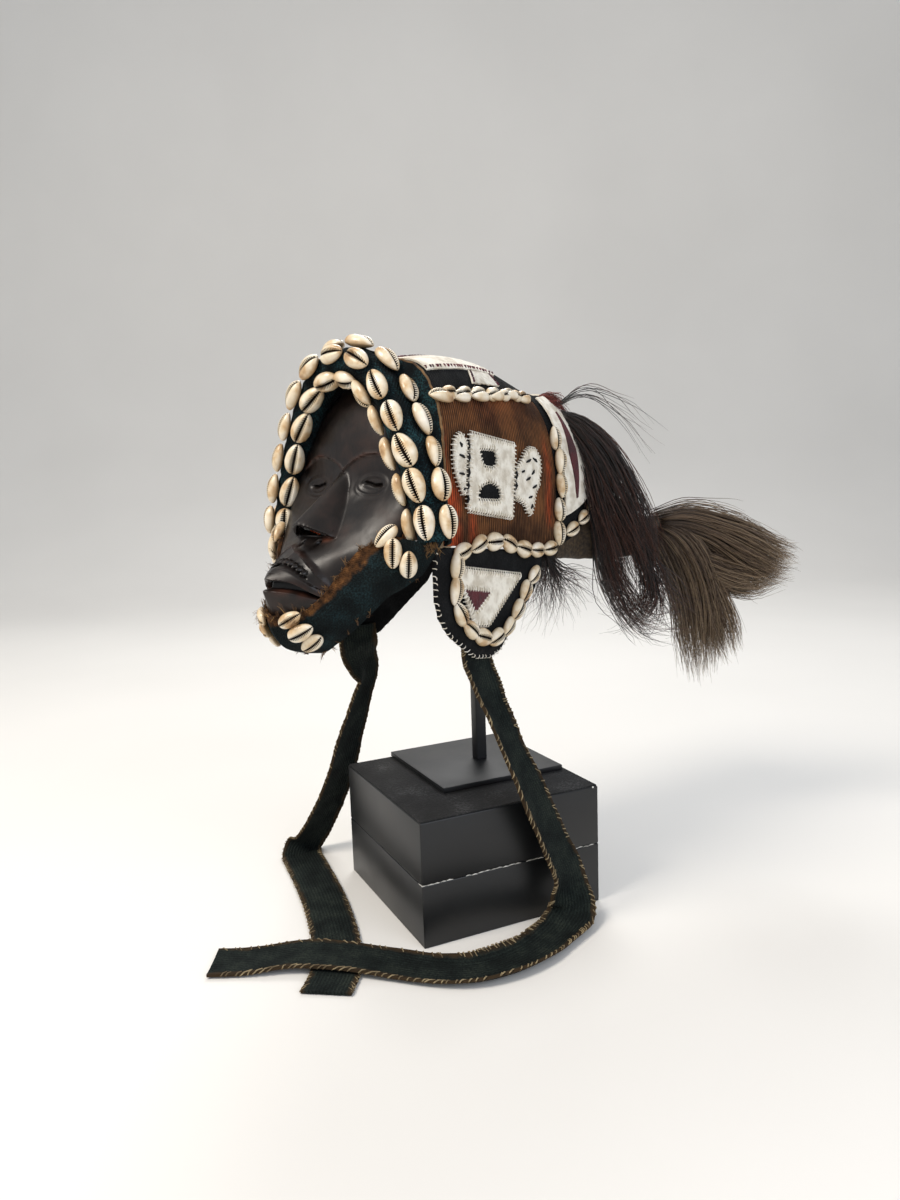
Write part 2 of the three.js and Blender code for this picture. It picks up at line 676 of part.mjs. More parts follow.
// Lines of shells on the side panel and the flap: distance back and height
const topSeamRow = [[-4, 378.3], [24, 379.5], [44, 380.5], [65, 382], [94, 384.5], [131, 383]];
const hemRow = [
  [6, 277.5], [17.4, 279.4], [41, 282.7], [65, 281.5], [82, 276.5], [101, 273], [125, 270.8], [143, 271],
];
const flapRow = [
  [0, 268], [2.5, 258], [6.3, 245.1], [14.8, 229.7], [33.8, 216.8], [54, 213.4], [70, 219.3], [83.7, 229.6],
  [95, 241.8], [110, 255],
];
// And on the hood's back, by u and v
const backSeamRow = [[0.016, 0.62], [0.014, 0.44], [0.012, 0.3], [0.006, 0.2], [0.004, 0.1]];

const CROWN_EDGE_ROW = [[0.066, 0.04], [0.066, 0.8]];
const NAPE_ROW = [[0.03, 0.06], [0.97, 0.06]];
const SEAM_LIFT = 2;

// The side panel's direction outwards, tipped up
const tilted = (degrees) => SIDE_NORMAL.clone().multiplyScalar(Math.cos(toRadians(degrees)))
  .add(vector(0, 0, Math.sin(toRadians(degrees))));
const facing = (normal) => [normal.toArray(), normal.toArray()];

// The straps: flat ribbons along a path, with the direction of the width at each point

const STRAP_WIDTH = 34;
const STRAP_THICK = 2.6;
const LYING = STRAP_THICK / 2 + 0.45;
const CROSSING = LYING + STRAP_THICK + 0.9;

// The near strap hangs from the left flap beside the base, lies round its corner and runs out to the front
const leftStrapPath = [
  [54.6, -42.5, 212], [55, -42.5, 199], [61.5, -43, 184],
  [69, -41, 164], [74, -32, 139], [82, -24, 113], [88, -14, 85],
  [92, -4, 60], [96, 3, 40], [98, 4, 24], [102, 1, 12], [103, -10, 5], [105, -28, LYING],
  [107, -52, LYING], [103, -76, LYING], [92, -97, LYING],
  [76, -110, LYING], [50, -124, LYING + 1], [20, -142, CROSSING], [-9, -163, CROSSING],
  [-31, -187, LYING + 0.5], [-50, -206, LYING],
];
const leftStrapWidth = [
  [-0.16, 0.99, 0], [-0.16, 0.99, 0], [-0.2, 0.98, 0],
  [-0.3, 0.95, 0], [-0.3, 0.95, 0], [-0.25, 0.97, 0], [-0.22, 0.97, 0.1],
  [-0.2, 0.97, 0.1], [-0.1, 0.98, 0.2], [0.2, 0.95, 0.2], [0.6, 0.75, 0.15], [0.9, 0.4, 0.05], [1, 0.05, 0],
  [1, -0.1, 0], [0.93, -0.36, 0], [0.75, -0.66, 0], [0.6, -0.8, 0], [0.52, -0.85, 0], [0.58, -0.81, 0],
  [0.68, -0.73, 0], [0.72, -0.69, 0], [0.72, -0.69, 0],
];
// The far strap hangs from the right flap with a twist, and lies under the other one
const rightStrapPath = [
  [-76.6, -42.5, 212], [-77, -42, 199], [-84.5, -34, 184],
  [-92, -23, 168], [-98, -27, 145], [-108, -32, 112], [-122, -33, 77],
  [-138, -38, 43], [-149, -45, 19], [-154, -51, 7], [-150, -58, LYING], [-138, -64, LYING],
  [-118, -73, LYING], [-90, -86, LYING], [-60, -101, LYING], [-28, -119, LYING], [0, -137, LYING],
  [22, -155, LYING], [38, -176, LYING],
];
const rightStrapWidth = [
  [-0.16, -0.99, 0], [-0.14, -0.99, 0], [0.2, -0.98, 0],
  [0.42, -0.9, 0], [0.35, -0.93, 0], [0.2, -0.98, 0], [0.1, -0.99, 0],
  [0, -1, 0], [-0.1, -0.99, 0], [-0.2, -0.98, 0], [-0.3, -0.95, 0], [-0.38, -0.92, 0], [-0.4, -0.91, 0],
  [-0.42, -0.9, 0], [-0.46, -0.88, 0], [-0.5, -0.86, 0], [-0.58, -0.81, 0], [-0.7, -0.71, 0], [-0.8, -0.6, 0],
];

function ribbon(path, widths, steps) {
  const line = curveThrough(path);
  const turning = curveThrough(widths);
  const rings = [];
  for (let j = 0; j <= steps; j += 1) {
    const share = j / steps;
    const centre = line.getPoint(share);
    centre.z = Math.max(centre.z, LYING);
    const along = line.getTangent(share);
    const across = turning.getPoint(share);
    across.addScaledVector(along, -across.dot(along)).normalize();
    const up = along.clone().cross(across).normalize();
    const corners = [[-1, -1], [1, -1], [1, 1], [-1, 1]];
    const ring = corners.map(([a, b]) => centre.clone()
      .addScaledVector(across, (a * STRAP_WIDTH) / 2)
      .addScaledVector(up, (b * STRAP_THICK) / 2));
    for (const edge of [[ring[0], ring[3]], [ring[1], ring[2]]]) {
      const [low, high] = edge.sort((p, q) => p.z - q.z);
      low.z = Math.max(low.z, CURVED_CONTACT);
      high.z = Math.max(high.z, low.z + 0.8 * STRAP_THICK * Math.abs(up.z));
    }
    rings.push(ring);
  }
  return loft(rings);
}

// The hide and the hair

const hideCurve = curveThrough([
  [30, 76, 276], [28.5, 94, 275], [27, 112, 272.5], [34, 128, 272], [50, 155, 272], [66, 181, 273],
]);
const hideTail = () => tapered(hideCurve, 6, 10, (s) => mix(6, 9, s), () => 17);

// Two fused locks of grey-brown hair: one reaching out, one hanging
function greyTuft() {
  const out = curveThrough([
    [70, 186, 272], [86, 202, 266], [104, 220, 252], [124, 241, 236], [143, 262, 224],
  ]);
  const down = curveThrough([
    [72, 188, 258], [83, 198, 236], [91, 205, 208], [95, 210, 176], [96, 211, 146],
  ]);
  const swell = (s) => 7 + 19 * Math.sin(Math.PI * (s * 0.86 + 0.1)) ** 0.8;
  return fromSolid(joined([
    tapered(out, 6, 8, (s) => swell(s), (s) => 0.9 * swell(s)),
    tapered(down, 6, 8, (s) => swell(s), (s) => swell(s)),
  ]));
}

// Long dark hair from the root on the crown, over the back and down past the hide
function darkTuft() {
  const curve = curveThrough([
    [23, 96, 374], [34, 106, 362], [46, 118, 340], [56, 128, 310], [65, 138, 282], [74, 148, 254],
    [78, 152, 224], [74, 148, 196],
  ]);
  const width = (share) => 4 + 10 * Math.sin(Math.PI * (share * 0.85 + 0.12));
  return tapered(curve, 12, 8, width, width);
}

const rootWad = () => new THREE.SphereGeometry(1, 8, 6).scale(8, 7, 6).rotateX(-0.5).translate(17, 93, 389);

function smallTuft() {
  const curve = curveThrough([[35, 57, 272], [35, 59, 256], [33, 58, 232], [28, 55, 206]]);
  const swell = (share) => 5 + 4 * Math.sin(Math.PI * share) - share;
  return tapered(curve, 6, 6, swell, swell);
}

// Materials

const paint = (color, roughness) => new THREE.MeshStandardMaterial({ color, roughness, metalness: 0 });
const blackPaint = paint('#101114', 0.4);
const blackSteel = new THREE.MeshStandardMaterial({ color: '#131417', roughness: 0.45, metalness: 0.6 });
const darkWood = paint('#1d1512', 0.35);
const indigoCloth = paint('#12201f', 0.9);
const brownCloth = paint('#5a3a26', 0.9);
const blackCloth = paint('#121314', 0.95);
const strapCloth = paint('#1c211f', 0.9);
const whiteFelt = paint('#cfc9bb', 0.95);
const redFelt = paint('#4a1820', 0.95);
const shell = paint('#dccfb8', 0.3);
const hide = paint('#33261a', 0.85);
const darkHair = paint('#1a1311', 0.6);
const greyHair = paint('#4d4335', 0.7);
const redFibre = paint('#5a2018', 0.9);

// The object

const object = new THREE.Group();

function add(name, geometry, material, z = 0, at = [0, 0]) {
  const mesh = new THREE.Mesh(geometry, material);
  mesh.name = name;
  mesh.position.set(at[0], at[1], z);
  object.add(mesh);
}

// A left piece as modelled, and its right twin across the mirror plane
function addPair(name, geometry, material) {
  add(`${name}_left`, geometry, material);
  add(`${name}_right`, mirrored(geometry), material);
}

const block = () => turnedBox(BASE_SIDE, BASE_SIDE, BLOCK_HEIGHT);
const plate = turnedBox(PLATE_SIDE, PLATE_SIDE, PLATE_THICK);
add('base_block_lower', block(), blackPaint, BLOCK_HEIGHT / 2);
add('base_block_upper', block(), blackPaint, BASE_TOP - BLOCK_HEIGHT / 2);
add('stand_plate', plate, blackSteel, PLATE_TOP - PLATE_THICK / 2, PLATE_AT);
const rodLength = ROD_TOP - PLATE_TOP - CONTACT;
add('stand_rod', turnedBox(ROD_SIDE, ROD_SIDE, rodLength), blackSteel, ROD_TOP - rodLength / 2, ROD_AT);

// Pieces are cut by a coarser face, a little larger than the real one
const coarseFace = () => faceShell(FACE_CUT, 8, 13);
const faceForCutting = joined([coarseFace(), coarseFace().translate(0, 0, -1)]);
const cutByFace = (geometry) => fromSolid(toSolid(geometry).subtract(faceForCutting));
add('face_mask', faceMask(), darkWood);
const collar = toSolid(sheet(collarSurface, 20, 1, -COLLAR_THICK / 2, COLLAR_THICK / 2))
  .subtract(toSolid(borderRow(outerDegrees, CURVED_CONTACT)));
add('hood_border', fromSolid(toSolid(borderRoll()).add(collar).subtract(faceForCutting)), indigoCloth);
add('border_shells_inner', cutByFace(borderRow(-42)), shell);
add('border_shells_middle', borderRow(27), shell);
add('border_shells_outer', borderRow(outerDegrees), shell);
add('jaw_cloth', cutByFace(sheet(jawSurface, 12, 3, -CLOTH, 0)), indigoCloth);
addPair('cheek_shells', rowOn(jawSurface, ...CHEEK_ROW, 3, 1, 18), shell);
addPair('chin_shells', rowOn(jawSurface, ...CHIN_ROW, 3, 1, 17), shell);

addPair('hood_side', sheet(sideSurface, 6, 5, -CLOTH, 0), brownCloth);
add('hood_crown', sheet(crownSurface, 8, 7, 0, CLOTH), blackCloth);
add('hood_back', sheet(backSurface, 11, 6, -CLOTH, 0), blackCloth);
addPair('ear_flap', earFlap(), blackCloth);

const onSide = (outline, holes = []) => laid(outline, holes, offSide, SIDE_FELT_LOW, SIDE_FELT_HIGH);
const patch = (cutout, low) => laid(insetOutline(cutout, PATCH_GAP), [], offSide, low, PATCH_HIGH);
addPair('side_felt_centre', onSide(sideCentre, [upperCutout, lowerCutout]), whiteFelt);
addPair('side_felt_front', onSide(frontWing), whiteFelt);
addPair('side_felt_rear', onSide(rearWing), whiteFelt);
addPair('side_patch_upper', patch(upperCutout, SIDE_FELT_LOW), blackCloth);
addPair('side_patch_lower', patch(lowerCutout, FELT_LOW), blackCloth);
addPair('flap_felt', laid(flapFelt, [], offFlap, FELT_LOW, FELT_HIGH), whiteFelt);
addPair('flap_red', laid(flapRed, [], offFlap, FELT_HIGH + CONTACT, FELT_HIGH + RED_THICK), redFelt);
const onCrown = (across, along, cells) => sheet(
  within(crownSurface, across, along), cells, cells, -CROWN_FELT_HIGH, -CROWN_FELT_LOW,
);
add('crown_felt', onCrown(CROWN_BAND_U, CROWN_BAND_V, 6), whiteFelt);
addPair('crown_felt_arm', onCrown(CROWN_ARM_U, CROWN_ARM_V, 2), whiteFelt);
const backPart = within(backSurface, BACK_FELT_U, BACK_FELT_V);
add('back_felt', sheet(backPart, 11, 4, SIDE_FELT_LOW, SIDE_FELT_HIGH), whiteFelt);

// Rows along seams and hems: the number of shells, and the width and height of one
const topSeamLine = topSeamRow.map(([back, z]) => offSide(back, z, SEAM_LIFT));
const backSeamLine = backSeamRow.map(([u, v]) => backSurface(u, v));
const onFlap = (row) => row.map(([back, z]) => offFlap(back, z, 0));
addPair('top_seam_shells', shellLine(topSeamLine, facing(tilted(45)), 6, 9, 5), shell);
addPair('crown_edge_shells', rowOn(crownSurface, ...CROWN_EDGE_ROW, 6, -1, 6, 5), shell);
addPair('back_seam_shells', shellLine(backSeamLine, facing(tilted(8)), 5, 9, 5), shell);
addPair('hem_shells', shellLine(onFlap(hemRow), facing(SIDE_NORMAL), 7, 13, 7), shell);
addPair('flap_shells', shellLine(onFlap(flapRow), facing(SIDE_NORMAL), 10, 12, 7), shell);
add('nape_shells', rowOn(backSurface, ...NAPE_ROW, 15, 1, 11, 6), shell);

add('strap_left', ribbon(leftStrapPath, leftStrapWidth, 34), strapCloth);
add('strap_right', ribbon(rightStrapPath, rightStrapWidth, 28), strapCloth);

add('hide_tail', hideTail(), hide);
add('tuft_grey', greyTuft(), greyHair);
const backForCutting = toSolid(sheet(backSurface, 12, 7, -12, FELT_HIGH + 3 + CURVED_CONTACT));
const cutByBack = (geometry) => fromSolid(toSolid(geometry).subtract(backForCutting));
add('tuft_dark', cutByBack(darkTuft()), darkHair);
add('tuft_root', cutByBack(rootWad()), redFibre);
add('tuft_small', smallTuft(), darkHair);

export default object;
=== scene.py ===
"""A carved wooden face mask in a cloth hood sewn with cowrie shells and felt, on a rod and a black base.

Lengths are millimetres in the functions that give shapes, and metres in the meshes. +Z is up, the face
looks along -Y, and the wearer's left side, with the near strap, is +X. The mask mirrors about CENTRE_X.
"""

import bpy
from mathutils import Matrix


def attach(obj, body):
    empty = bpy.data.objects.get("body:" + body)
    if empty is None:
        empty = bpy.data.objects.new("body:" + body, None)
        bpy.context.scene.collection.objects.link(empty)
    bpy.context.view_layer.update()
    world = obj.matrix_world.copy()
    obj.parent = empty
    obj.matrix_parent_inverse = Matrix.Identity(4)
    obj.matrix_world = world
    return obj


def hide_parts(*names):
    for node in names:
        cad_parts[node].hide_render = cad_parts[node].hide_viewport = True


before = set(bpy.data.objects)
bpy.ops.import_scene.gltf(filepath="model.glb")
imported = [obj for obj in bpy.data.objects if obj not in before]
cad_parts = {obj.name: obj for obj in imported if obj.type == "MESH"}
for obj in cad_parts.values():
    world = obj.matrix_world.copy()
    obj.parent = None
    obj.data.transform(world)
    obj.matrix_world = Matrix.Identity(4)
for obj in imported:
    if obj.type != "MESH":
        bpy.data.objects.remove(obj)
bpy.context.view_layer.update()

import math
import random

import bpy
from mathutils import Matrix, Vector, noise

MM = 0.001

# The stand
BASE_SIDE = 148
BLOCK_HEIGHT = 46.5
BASE_TURN = -19.5
BASE_TOP = 93.3
PLATE_SIDE = 105
PLATE_THICK = 4
PLATE_AT = (-14, 23)
PLATE_LOW = 93.6
ROD_SIDE = 9
ROD_AT = (-11, 27)
ROD_TOP = 401

# The mask and the hood
CENTRE_X = -11
FACE_LOW = 217
FACE_HIGH = 396
FACE_THICK = 4.5
BORDER_RADIUS = 12
BORDER_HALF_WIDTH = 78
BORDER_LOW = 288
BORDER_SHOULDER = 300
BORDER_TOP = 407
BORDER_POWER = 2.38
BORDER_Y = -93
SHELL_PITCH = 24
SHELL_LIFT = 2.4
COWRIE_HALF_LENGTH = 11.9
COWRIE_HALF_WIDTH = 7.6
COWRIE_FRONT = 5.6
COWRIE_BACK = 3.2
AT_TIP = 1e-6
HOOD_FRONT = -80
HOOD_BACK = 65
HOOD_LENGTH = HOOD_BACK - HOOD_FRONT
HOOD_FRONT_HALF = 77
HOOD_BACK_HALF = 54
CROWN_TOP = 413
CROWN_TOP_Y = -27
CROWN_FALL = 0.0022
HOOD_REACH = 100
HEM_FRONT = 284
HEM_BACK = 272
SEAM_FRONT = 380
SEAM_BACK = 384
NAPE_RISE = 60
NAPE_POWER = 1.6
FRONT_SHOULDER = 350
BACK_SHOULDER = 315
FRONT_ROUNDING = 0.4
BACK_ROUNDING = 0.7
CLOTH_THICK = 2.2
DOME_LENGTH = 100

# The sliced nose: heights and depths of its root, sliced tip and lower edge
NOSE_ROOT = 335
NOSE_ROOT_Y = -101
NOSE_TIP = 301.5
NOSE_TIP_Y = -143.7
NOSE_LOW = 292
NOSE_LOW_Y = -128.7
NOSE_HALF = 22
NOSE_HOLE = [(-19.8, 292.7), (19.8, 292.7), (0, 300.8)]

# The straps: woven strips
STRAP_WIDTH = 34
STRAP_THICK = 2.0
STRAP_LYING = 1.75
STRAP_CROSSING = 5.25
STITCH_PITCH = 4.2

# The side cloth's ribs
RIB_PITCH = 2.3
RIB_SWAY = 1.4

# The felt on the crown, by u and v, and where the felt on the back starts
CROWN_BAND = ((0.2, 0.8), (0.03, 0.62))
CROWN_ARM = ((0.085, 0.19), (0.37, 0.57))
BACK_FELT_START = 0.03

# Cowries beside the border's ends and by the chin: u and v on the jaw cloth, and the slit's turn
CHEEK_SPOTS = [(0.015, 0.0, 24), (0.06, 0.3, 40), (0.085, 0.6, 46)]
CHIN_SPOTS = [(0.405, 0.06, 18), (0.4, 0.32, 2), (0.405, 0.6, 10)]

# Cowrie rows on the side panel and the ear flap: distance back along it and height
TOP_SEAM_ROW = [(-8, 378), (24, 379.5), (44, 380.5), (65, 382), (94, 384.5), (131, 383)]
BACK_SEAM_ROW = [(0.02, 0.6), (0.016, 0.44), (0.012, 0.3), (0.004, 0.15), (0.0, 0.0)]
HEM_ROW = [
    (6, 277.5), (17.4, 279.4), (41, 282.7), (65, 281.5), (82, 276.5), (101, 273), (125, 270.8), (143, 271),
]
FLAP_ROW = [
    (10, 279), (6.3, 260.5), (7.2, 245.1), (16, 230.5), (34.5, 218.4), (54.3, 214.3), (70, 219.3),
    (83.7, 229.6), (95, 241.8), (115, 259),
]

# How many steps a curve is measured in
EVEN_STEPS = 400


# Numbers and curves

def mix(low, high, share):
    return low + (high - low) * share


def clamp(value):
    """A value held between 0 and 1."""
    return min(max(value, 0.0), 1.0)


def bump(distance, width):
    """One at no distance, falling smoothly to nothing."""
    return math.exp(-((distance / width) ** 2))


def curve_through(points):
    """A smooth curve through points, by the share of its points passed."""
    knots = [Vector(p) for p in points]
    knots = [knots[0] * 2 - knots[1]] + knots + [knots[-1] * 2 - knots[-2]]

    def at(share):
        place = clamp(share) * (len(knots) - 3)
        index = min(int(place), len(knots) - 4)
        rest = place - index
        before, start, end, after = knots[index:index + 4]
        gaps = [max((b - a).length ** 0.5, 1e-4) for a, b in ((before, start), (start, end), (end, after))]
        leaving = (start - before) / gaps[0] - (end - before) / (gaps[0] + gaps[1]) + (end - start) / gaps[1]
        arriving = (end - start) / gaps[1] - (after - start) / (gaps[1] + gaps[2]) + (after - end) / gaps[2]
        leaving, arriving = leaving * gaps[1], arriving * gaps[1]
        return (start + leaving * rest
                + (3 * (end - start) - 2 * leaving - arriving) * rest ** 2
                + (2 * (start - end) + leaving + arriving) * rest ** 3)
    return at


def evenly(curve):
    """The same curve by the share of its length, and its length."""
    steps = EVEN_STEPS
    points = [curve(i / steps) for i in range(steps + 1)]
    reached = [0.0]
    for a, b in zip(points, points[1:]):
        reached.append(reached[-1] + (b - a).length)

    def at(share):
        wanted = clamp(share) * reached[-1]
        low, high = 0, steps
        while high - low > 1:
            index = (low + high) // 2
            if reached[index] < wanted:
                low = index
            else:
                high = index
        gap = max(reached[high] - reached[low], 1e-9)
        return points[low].lerp(points[high], (wanted - reached[low]) / gap)
    return at, reached[-1]


def through(table):
    """A smooth number along a short table of places and values."""
    curve = curve_through([(place, value, 0) for place, value in table])
    steps = 12 * len(table)
    drawn = [curve(i / steps) for i in range(steps + 1)]

    def at(place):
        if place <= drawn[0].x:
            return drawn[0].y
        for a, b in zip(drawn, drawn[1:]):
            if place <= b.x:
                return mix(a.y, b.y, (place - a.x) / max(b.x - a.x, 1e-9))
        return drawn[-1].y
    return at


# The shapes of the mask and hood, the same as the solids'

face_centre = through([
    (217, -143), (223, -154), (231, -160), (242, -163), (252, -167), (262, -169), (268, -166), (278, -152),
    (291, -131), (305, -117), (320, -108), (337, -101), (360, -97), (380, -90), (392, -83), (396, -79),
])
face_half = through([
    (217, 9), (223, 18), (232, 26), (245, 35), (258, 44), (272, 53), (288, 61), (305, 66),
    (325, 67), (345, 63), (362, 54), (378, 42), (390, 27), (396, 14),
])
face_rim = through([
    (217, -140), (232, -136), (250, -128), (270, -118), (288, -108), (305, -99), (325, -93), (350, -86),
    (396, -74),
])


def nose_front(across, z, cheek):
    """Y of the nose: a wedge growing out below the brow, its tip sliced off forwards and down."""
    wing = mix(4, NOSE_HALF, (NOSE_ROOT - z) / (NOSE_ROOT - NOSE_LOW))
    ridge = mix(NOSE_ROOT_Y, NOSE_TIP_Y, (NOSE_ROOT - z) / (NOSE_ROOT - NOSE_TIP))
    roof = mix(ridge, cheek, min(abs(across) / wing, 1) ** 1.7)
    cut = mix(NOSE_LOW_Y, NOSE_TIP_Y, (z - NOSE_LOW) / (NOSE_TIP - NOSE_LOW))
    return max(roof, cut)


def face_front(across, z):
    """Y of the front of the face, without the fine carving."""
    share = min(abs(across) / face_half(z), 1)
    rounded = 1 - (1 - share ** 2.3) ** 0.62
    muzzle = bump(z - 268, 22)
    socket = bump(abs(across) - 30, 17) * bump(z - 322, 12)
    section = mix(rounded, share ** 1.2, muzzle)
    cheek = mix(face_centre(z), face_rim(z), section) + 4.5 * socket
    if not NOSE_LOW - 2 < z < NOSE_ROOT:
        return cheek
    return min(cheek, nose_front(across, z, cheek))


def border_point(share, half, top):
    """A point of the border's arch between its ends, which is squarer than a circle at its shoulders."""
    turn = math.pi * share
    across = half * math.copysign(abs(math.cos(turn)) ** (2 / BORDER_POWER), math.cos(turn))
    return (CENTRE_X + across, BORDER_Y, BORDER_SHOULDER + (top - BORDER_SHOULDER) * math.sin(turn) ** 2)


arch, ARCH_LENGTH = evenly(curve_through(
    [(CENTRE_X + BORDER_HALF_WIDTH + 1, BORDER_Y, BORDER_LOW)]
    + [border_point(i / 14, BORDER_HALF_WIDTH, BORDER_TOP) for i in range(15)]
    + [(CENTRE_X - BORDER_HALF_WIDTH - 1, BORDER_Y, BORDER_LOW)]))


def arch_normal(share, degrees):
    """The direction across the border, turned from forward (0) to outward (90)."""
    along = (arch(min(share + 0.002, 1)) - arch(max(share - 0.002, 0))).normalized()
    forward = Vector((0, -1, 0))
    outward = forward.cross(along).normalized()
    if outward.dot(Vector((arch(share).x - CENTRE_X, 0, 0.02))) < 0 or outward.z < -0.2:
        outward.negate()
    angle = math.radians(degrees)
    return forward * math.cos(angle) + outward * math.sin(angle)


def outer_degrees(share):
    """The outer row lies further back on the roll at its shoulders."""
    return 91 + 20 * math.sin(2 * math.pi * share) ** 2


def on_border(degrees):
    """Places on the border's roll by the share along it, at a turn or one that changes along it."""
    def place(share):
        normal = arch_normal(share, degrees(share) if callable(degrees) else degrees)
        return arch(share) + normal * BORDER_RADIUS, normal
    return place


def along_hood(y):
    return (y - HOOD_FRONT) / HOOD_LENGTH


def hood_half(y):
    return mix(HOOD_FRONT_HALF, HOOD_BACK_HALF, along_hood(y))


def shoulder_z(y):
    return mix(FRONT_SHOULDER, BACK_SHOULDER, along_hood(y))


def crown_z(y):
    return CROWN_TOP - CROWN_FALL * (y - CROWN_TOP_Y) ** 2


def hem_z(y):
    return mix(HEM_FRONT, HEM_BACK, along_hood(y))


def seam_z(y):
    return mix(SEAM_FRONT, SEAM_BACK, along_hood(y))


def rounding(y):
    """How fast the hood's section turns over at its shoulder, as the power of a cosine."""
    return mix(FRONT_ROUNDING, BACK_ROUNDING, along_hood(y))


def side_point(y, z):
    rise = clamp((z - shoulder_z(y)) / (crown_z(y) - shoulder_z(y)))
    across = hood_half(y) * (1 - rise * rise) ** (rounding(y) / 2)
    return Vector((CENTRE_X + across, y, z))


def side_surface(u, v):
    """The near side panel, from front to back by u, and from its hem up to its top seam by v."""
    y = mix(HOOD_FRONT, HOOD_BACK, u)
    return side_point(y, mix(hem_z(y), seam_z(y), v))


SIDE_DIRECTION = Vector((HOOD_BACK_HALF - HOOD_FRONT_HALF, HOOD_LENGTH, 0)).normalized()
SIDE_NORMAL = Vector((SIDE_DIRECTION.y, -SIDE_DIRECTION.x, 0))


def off_side(back, z, off):
    """A point by distance back along the side panel, height, and distance off its face."""
    return side_point(HOOD_FRONT + back * SIDE_DIRECTION.y, z) + SIDE_NORMAL * off


def off_flap(back, z, off):
    corner = Vector((CENTRE_X + HOOD_FRONT_HALF, HOOD_FRONT, z))
    return corner + SIDE_DIRECTION * back + SIDE_NORMAL * off


def crown_surface(u, v):
    """The crown, from the near top seam over to the far one by u, and from front to back by v."""
    y = mix(HOOD_FRONT, HOOD_BACK, v)
    start = math.asin((seam_z(y) + 1.2 - shoulder_z(y)) / (crown_z(y) - shoulder_z(y)))
    turn = mix(start, math.pi - start, u)
    across = hood_half(y) * math.copysign(abs(math.cos(turn)) ** rounding(y), math.cos(turn))
    return Vector((CENTRE_X + across, y, shoulder_z(y) + (crown_z(y) - shoulder_z(y)) * math.sin(turn)))


def back_surface(u, v):
    """The rounded back: straight down to an arched hem, and a dome above."""
    turn = math.pi * u
    hem = HEM_BACK + NAPE_RISE * math.sin(turn) ** NAPE_POWER
    high = crown_z(HOOD_BACK) - BACK_SHOULDER
    straight = max(BACK_SHOULDER - hem, 0)
    split = straight / (straight + DOME_LENGTH)
    if v < split:
        lift, z = 0, mix(hem, BACK_SHOULDER, v / split)
    else:
        lift = mix(math.asin(max(hem - BACK_SHOULDER, 0) / high), math.radians(88), (v - split) / (1 - split))
        z = BACK_SHOULDER + high * math.sin(lift)
    across = HOOD_BACK_HALF * math.cos(lift) ** 0.7
    reach = HOOD_REACH * math.cos(lift) * math.sin(turn)
    return Vector((CENTRE_X + across * math.cos(turn), HOOD_BACK + 0.5 + reach, z))


# The jaw cloth's front hem, its fullest line and its back edge, from the chin out to one side
jaw_hem = curve_through([
    (0, -169, 243), (12, -163, 243.5), (21, -157, 246), (29, -148, 255), (36, -138, 269), (45, -127, 284),
    (62, -112, 293),
])
jaw_full = curve_through([
    (0, -168, 219), (18, -160, 223), (34, -146, 238), (48, -132, 252), (64, -119, 265), (75, -112, 273),
    (86, -106, 286),
])
jaw_back = curve_through([
    (0, -140, 213), (18, -134, 217), (34, -123, 232), (50, -111, 250), (68, -100, 264), (78, -96, 274),
    (86, -90, 290),
])


def jaw_surface(u, v):
    """The cloth under the jaw, from side to side by u, and from its front hem back by v."""
    out = abs(2 * u - 1)
    side = 1 if u < 0.5 else -1
    point = jaw_hem(out) * (1 - v) ** 2 + jaw_full(out) * (2 * v * (1 - v)) + jaw_back(out) * v * v
    return Vector((CENTRE_X + side * point.x, point.y, point.z))


def surface_normal(surface, u, v):
    step = 2e-3
    along = surface(min(u + step, 1), v) - surface(max(u - step, 0), v)
    return along.cross(surface(u, min(v + step, 1)) - surface(u, max(v - step, 0))).normalized()


# Making meshes

def pick(*objects):
    bpy.ops.object.select_all(action="DESELECT")
    for obj in objects:
        obj.select_set(True)
    bpy.context.view_layer.objects.active = objects[0]


def name_new(name):
    obj = bpy.context.object
    obj.name = name
    obj.data.name = name
    return obj


def primitive(name, add, **settings):
    """One of the plain starting meshes, by the operator that adds it."""
    bpy.ops.object.select_all(action="DESELECT")
    add(**settings)
    return name_new(name)


def new_object(name, data):
    obj = bpy.data.objects.new(name, data)
    bpy.context.collection.objects.link(obj)
    return obj


def modify(obj, kind, **settings):
    """Add a modifier to a piece and apply it."""
    pick(obj)
    modifier = obj.modifiers.new(kind.title(), kind)
    for key, value in settings.items():
        setattr(modifier, key, value)
    bpy.ops.object.modifier_apply(modifier=modifier.name)


def in_edit_mode(obj, *steps):
    """Run edit-mode operators on the whole of a piece."""
    pick(obj)
    bpy.ops.object.mode_set(mode="EDIT")
    bpy.ops.mesh.select_all(action="SELECT")
    for step in steps:
        step()
    bpy.ops.object.mode_set(mode="OBJECT")


def merge_doubles():
    bpy.ops.mesh.remove_doubles(threshold=0.02 * MM)


def turn_outwards():
    bpy.ops.mesh.normals_make_consistent(inside=False)


def panel(name, surface, columns, rows):
    """A grid laid on a surface by u and v, from 0 to 1, which its UV map also holds."""
    grid = bpy.ops.mesh.primitive_grid_add
    obj = primitive(name, grid, x_subdivisions=columns, y_subdivisions=rows, size=1)
    for vertex in obj.data.vertices:
        vertex.co = surface(vertex.co.x + 0.5, vertex.co.y + 0.5) * MM
    return obj


def thick_panel(name, surface, columns, rows, thick, side=0, degrees=60, turned=False):
    """A panel made thick behind its surface (-1), about it (0) or in front of it (1)."""
    obj = panel(name, surface, columns, rows)
    modify(obj, "SOLIDIFY", thickness=thick * MM, offset=side)
    if turned:
        in_edit_mode(obj, turn_outwards)
    smooth(obj, degrees)
    return obj


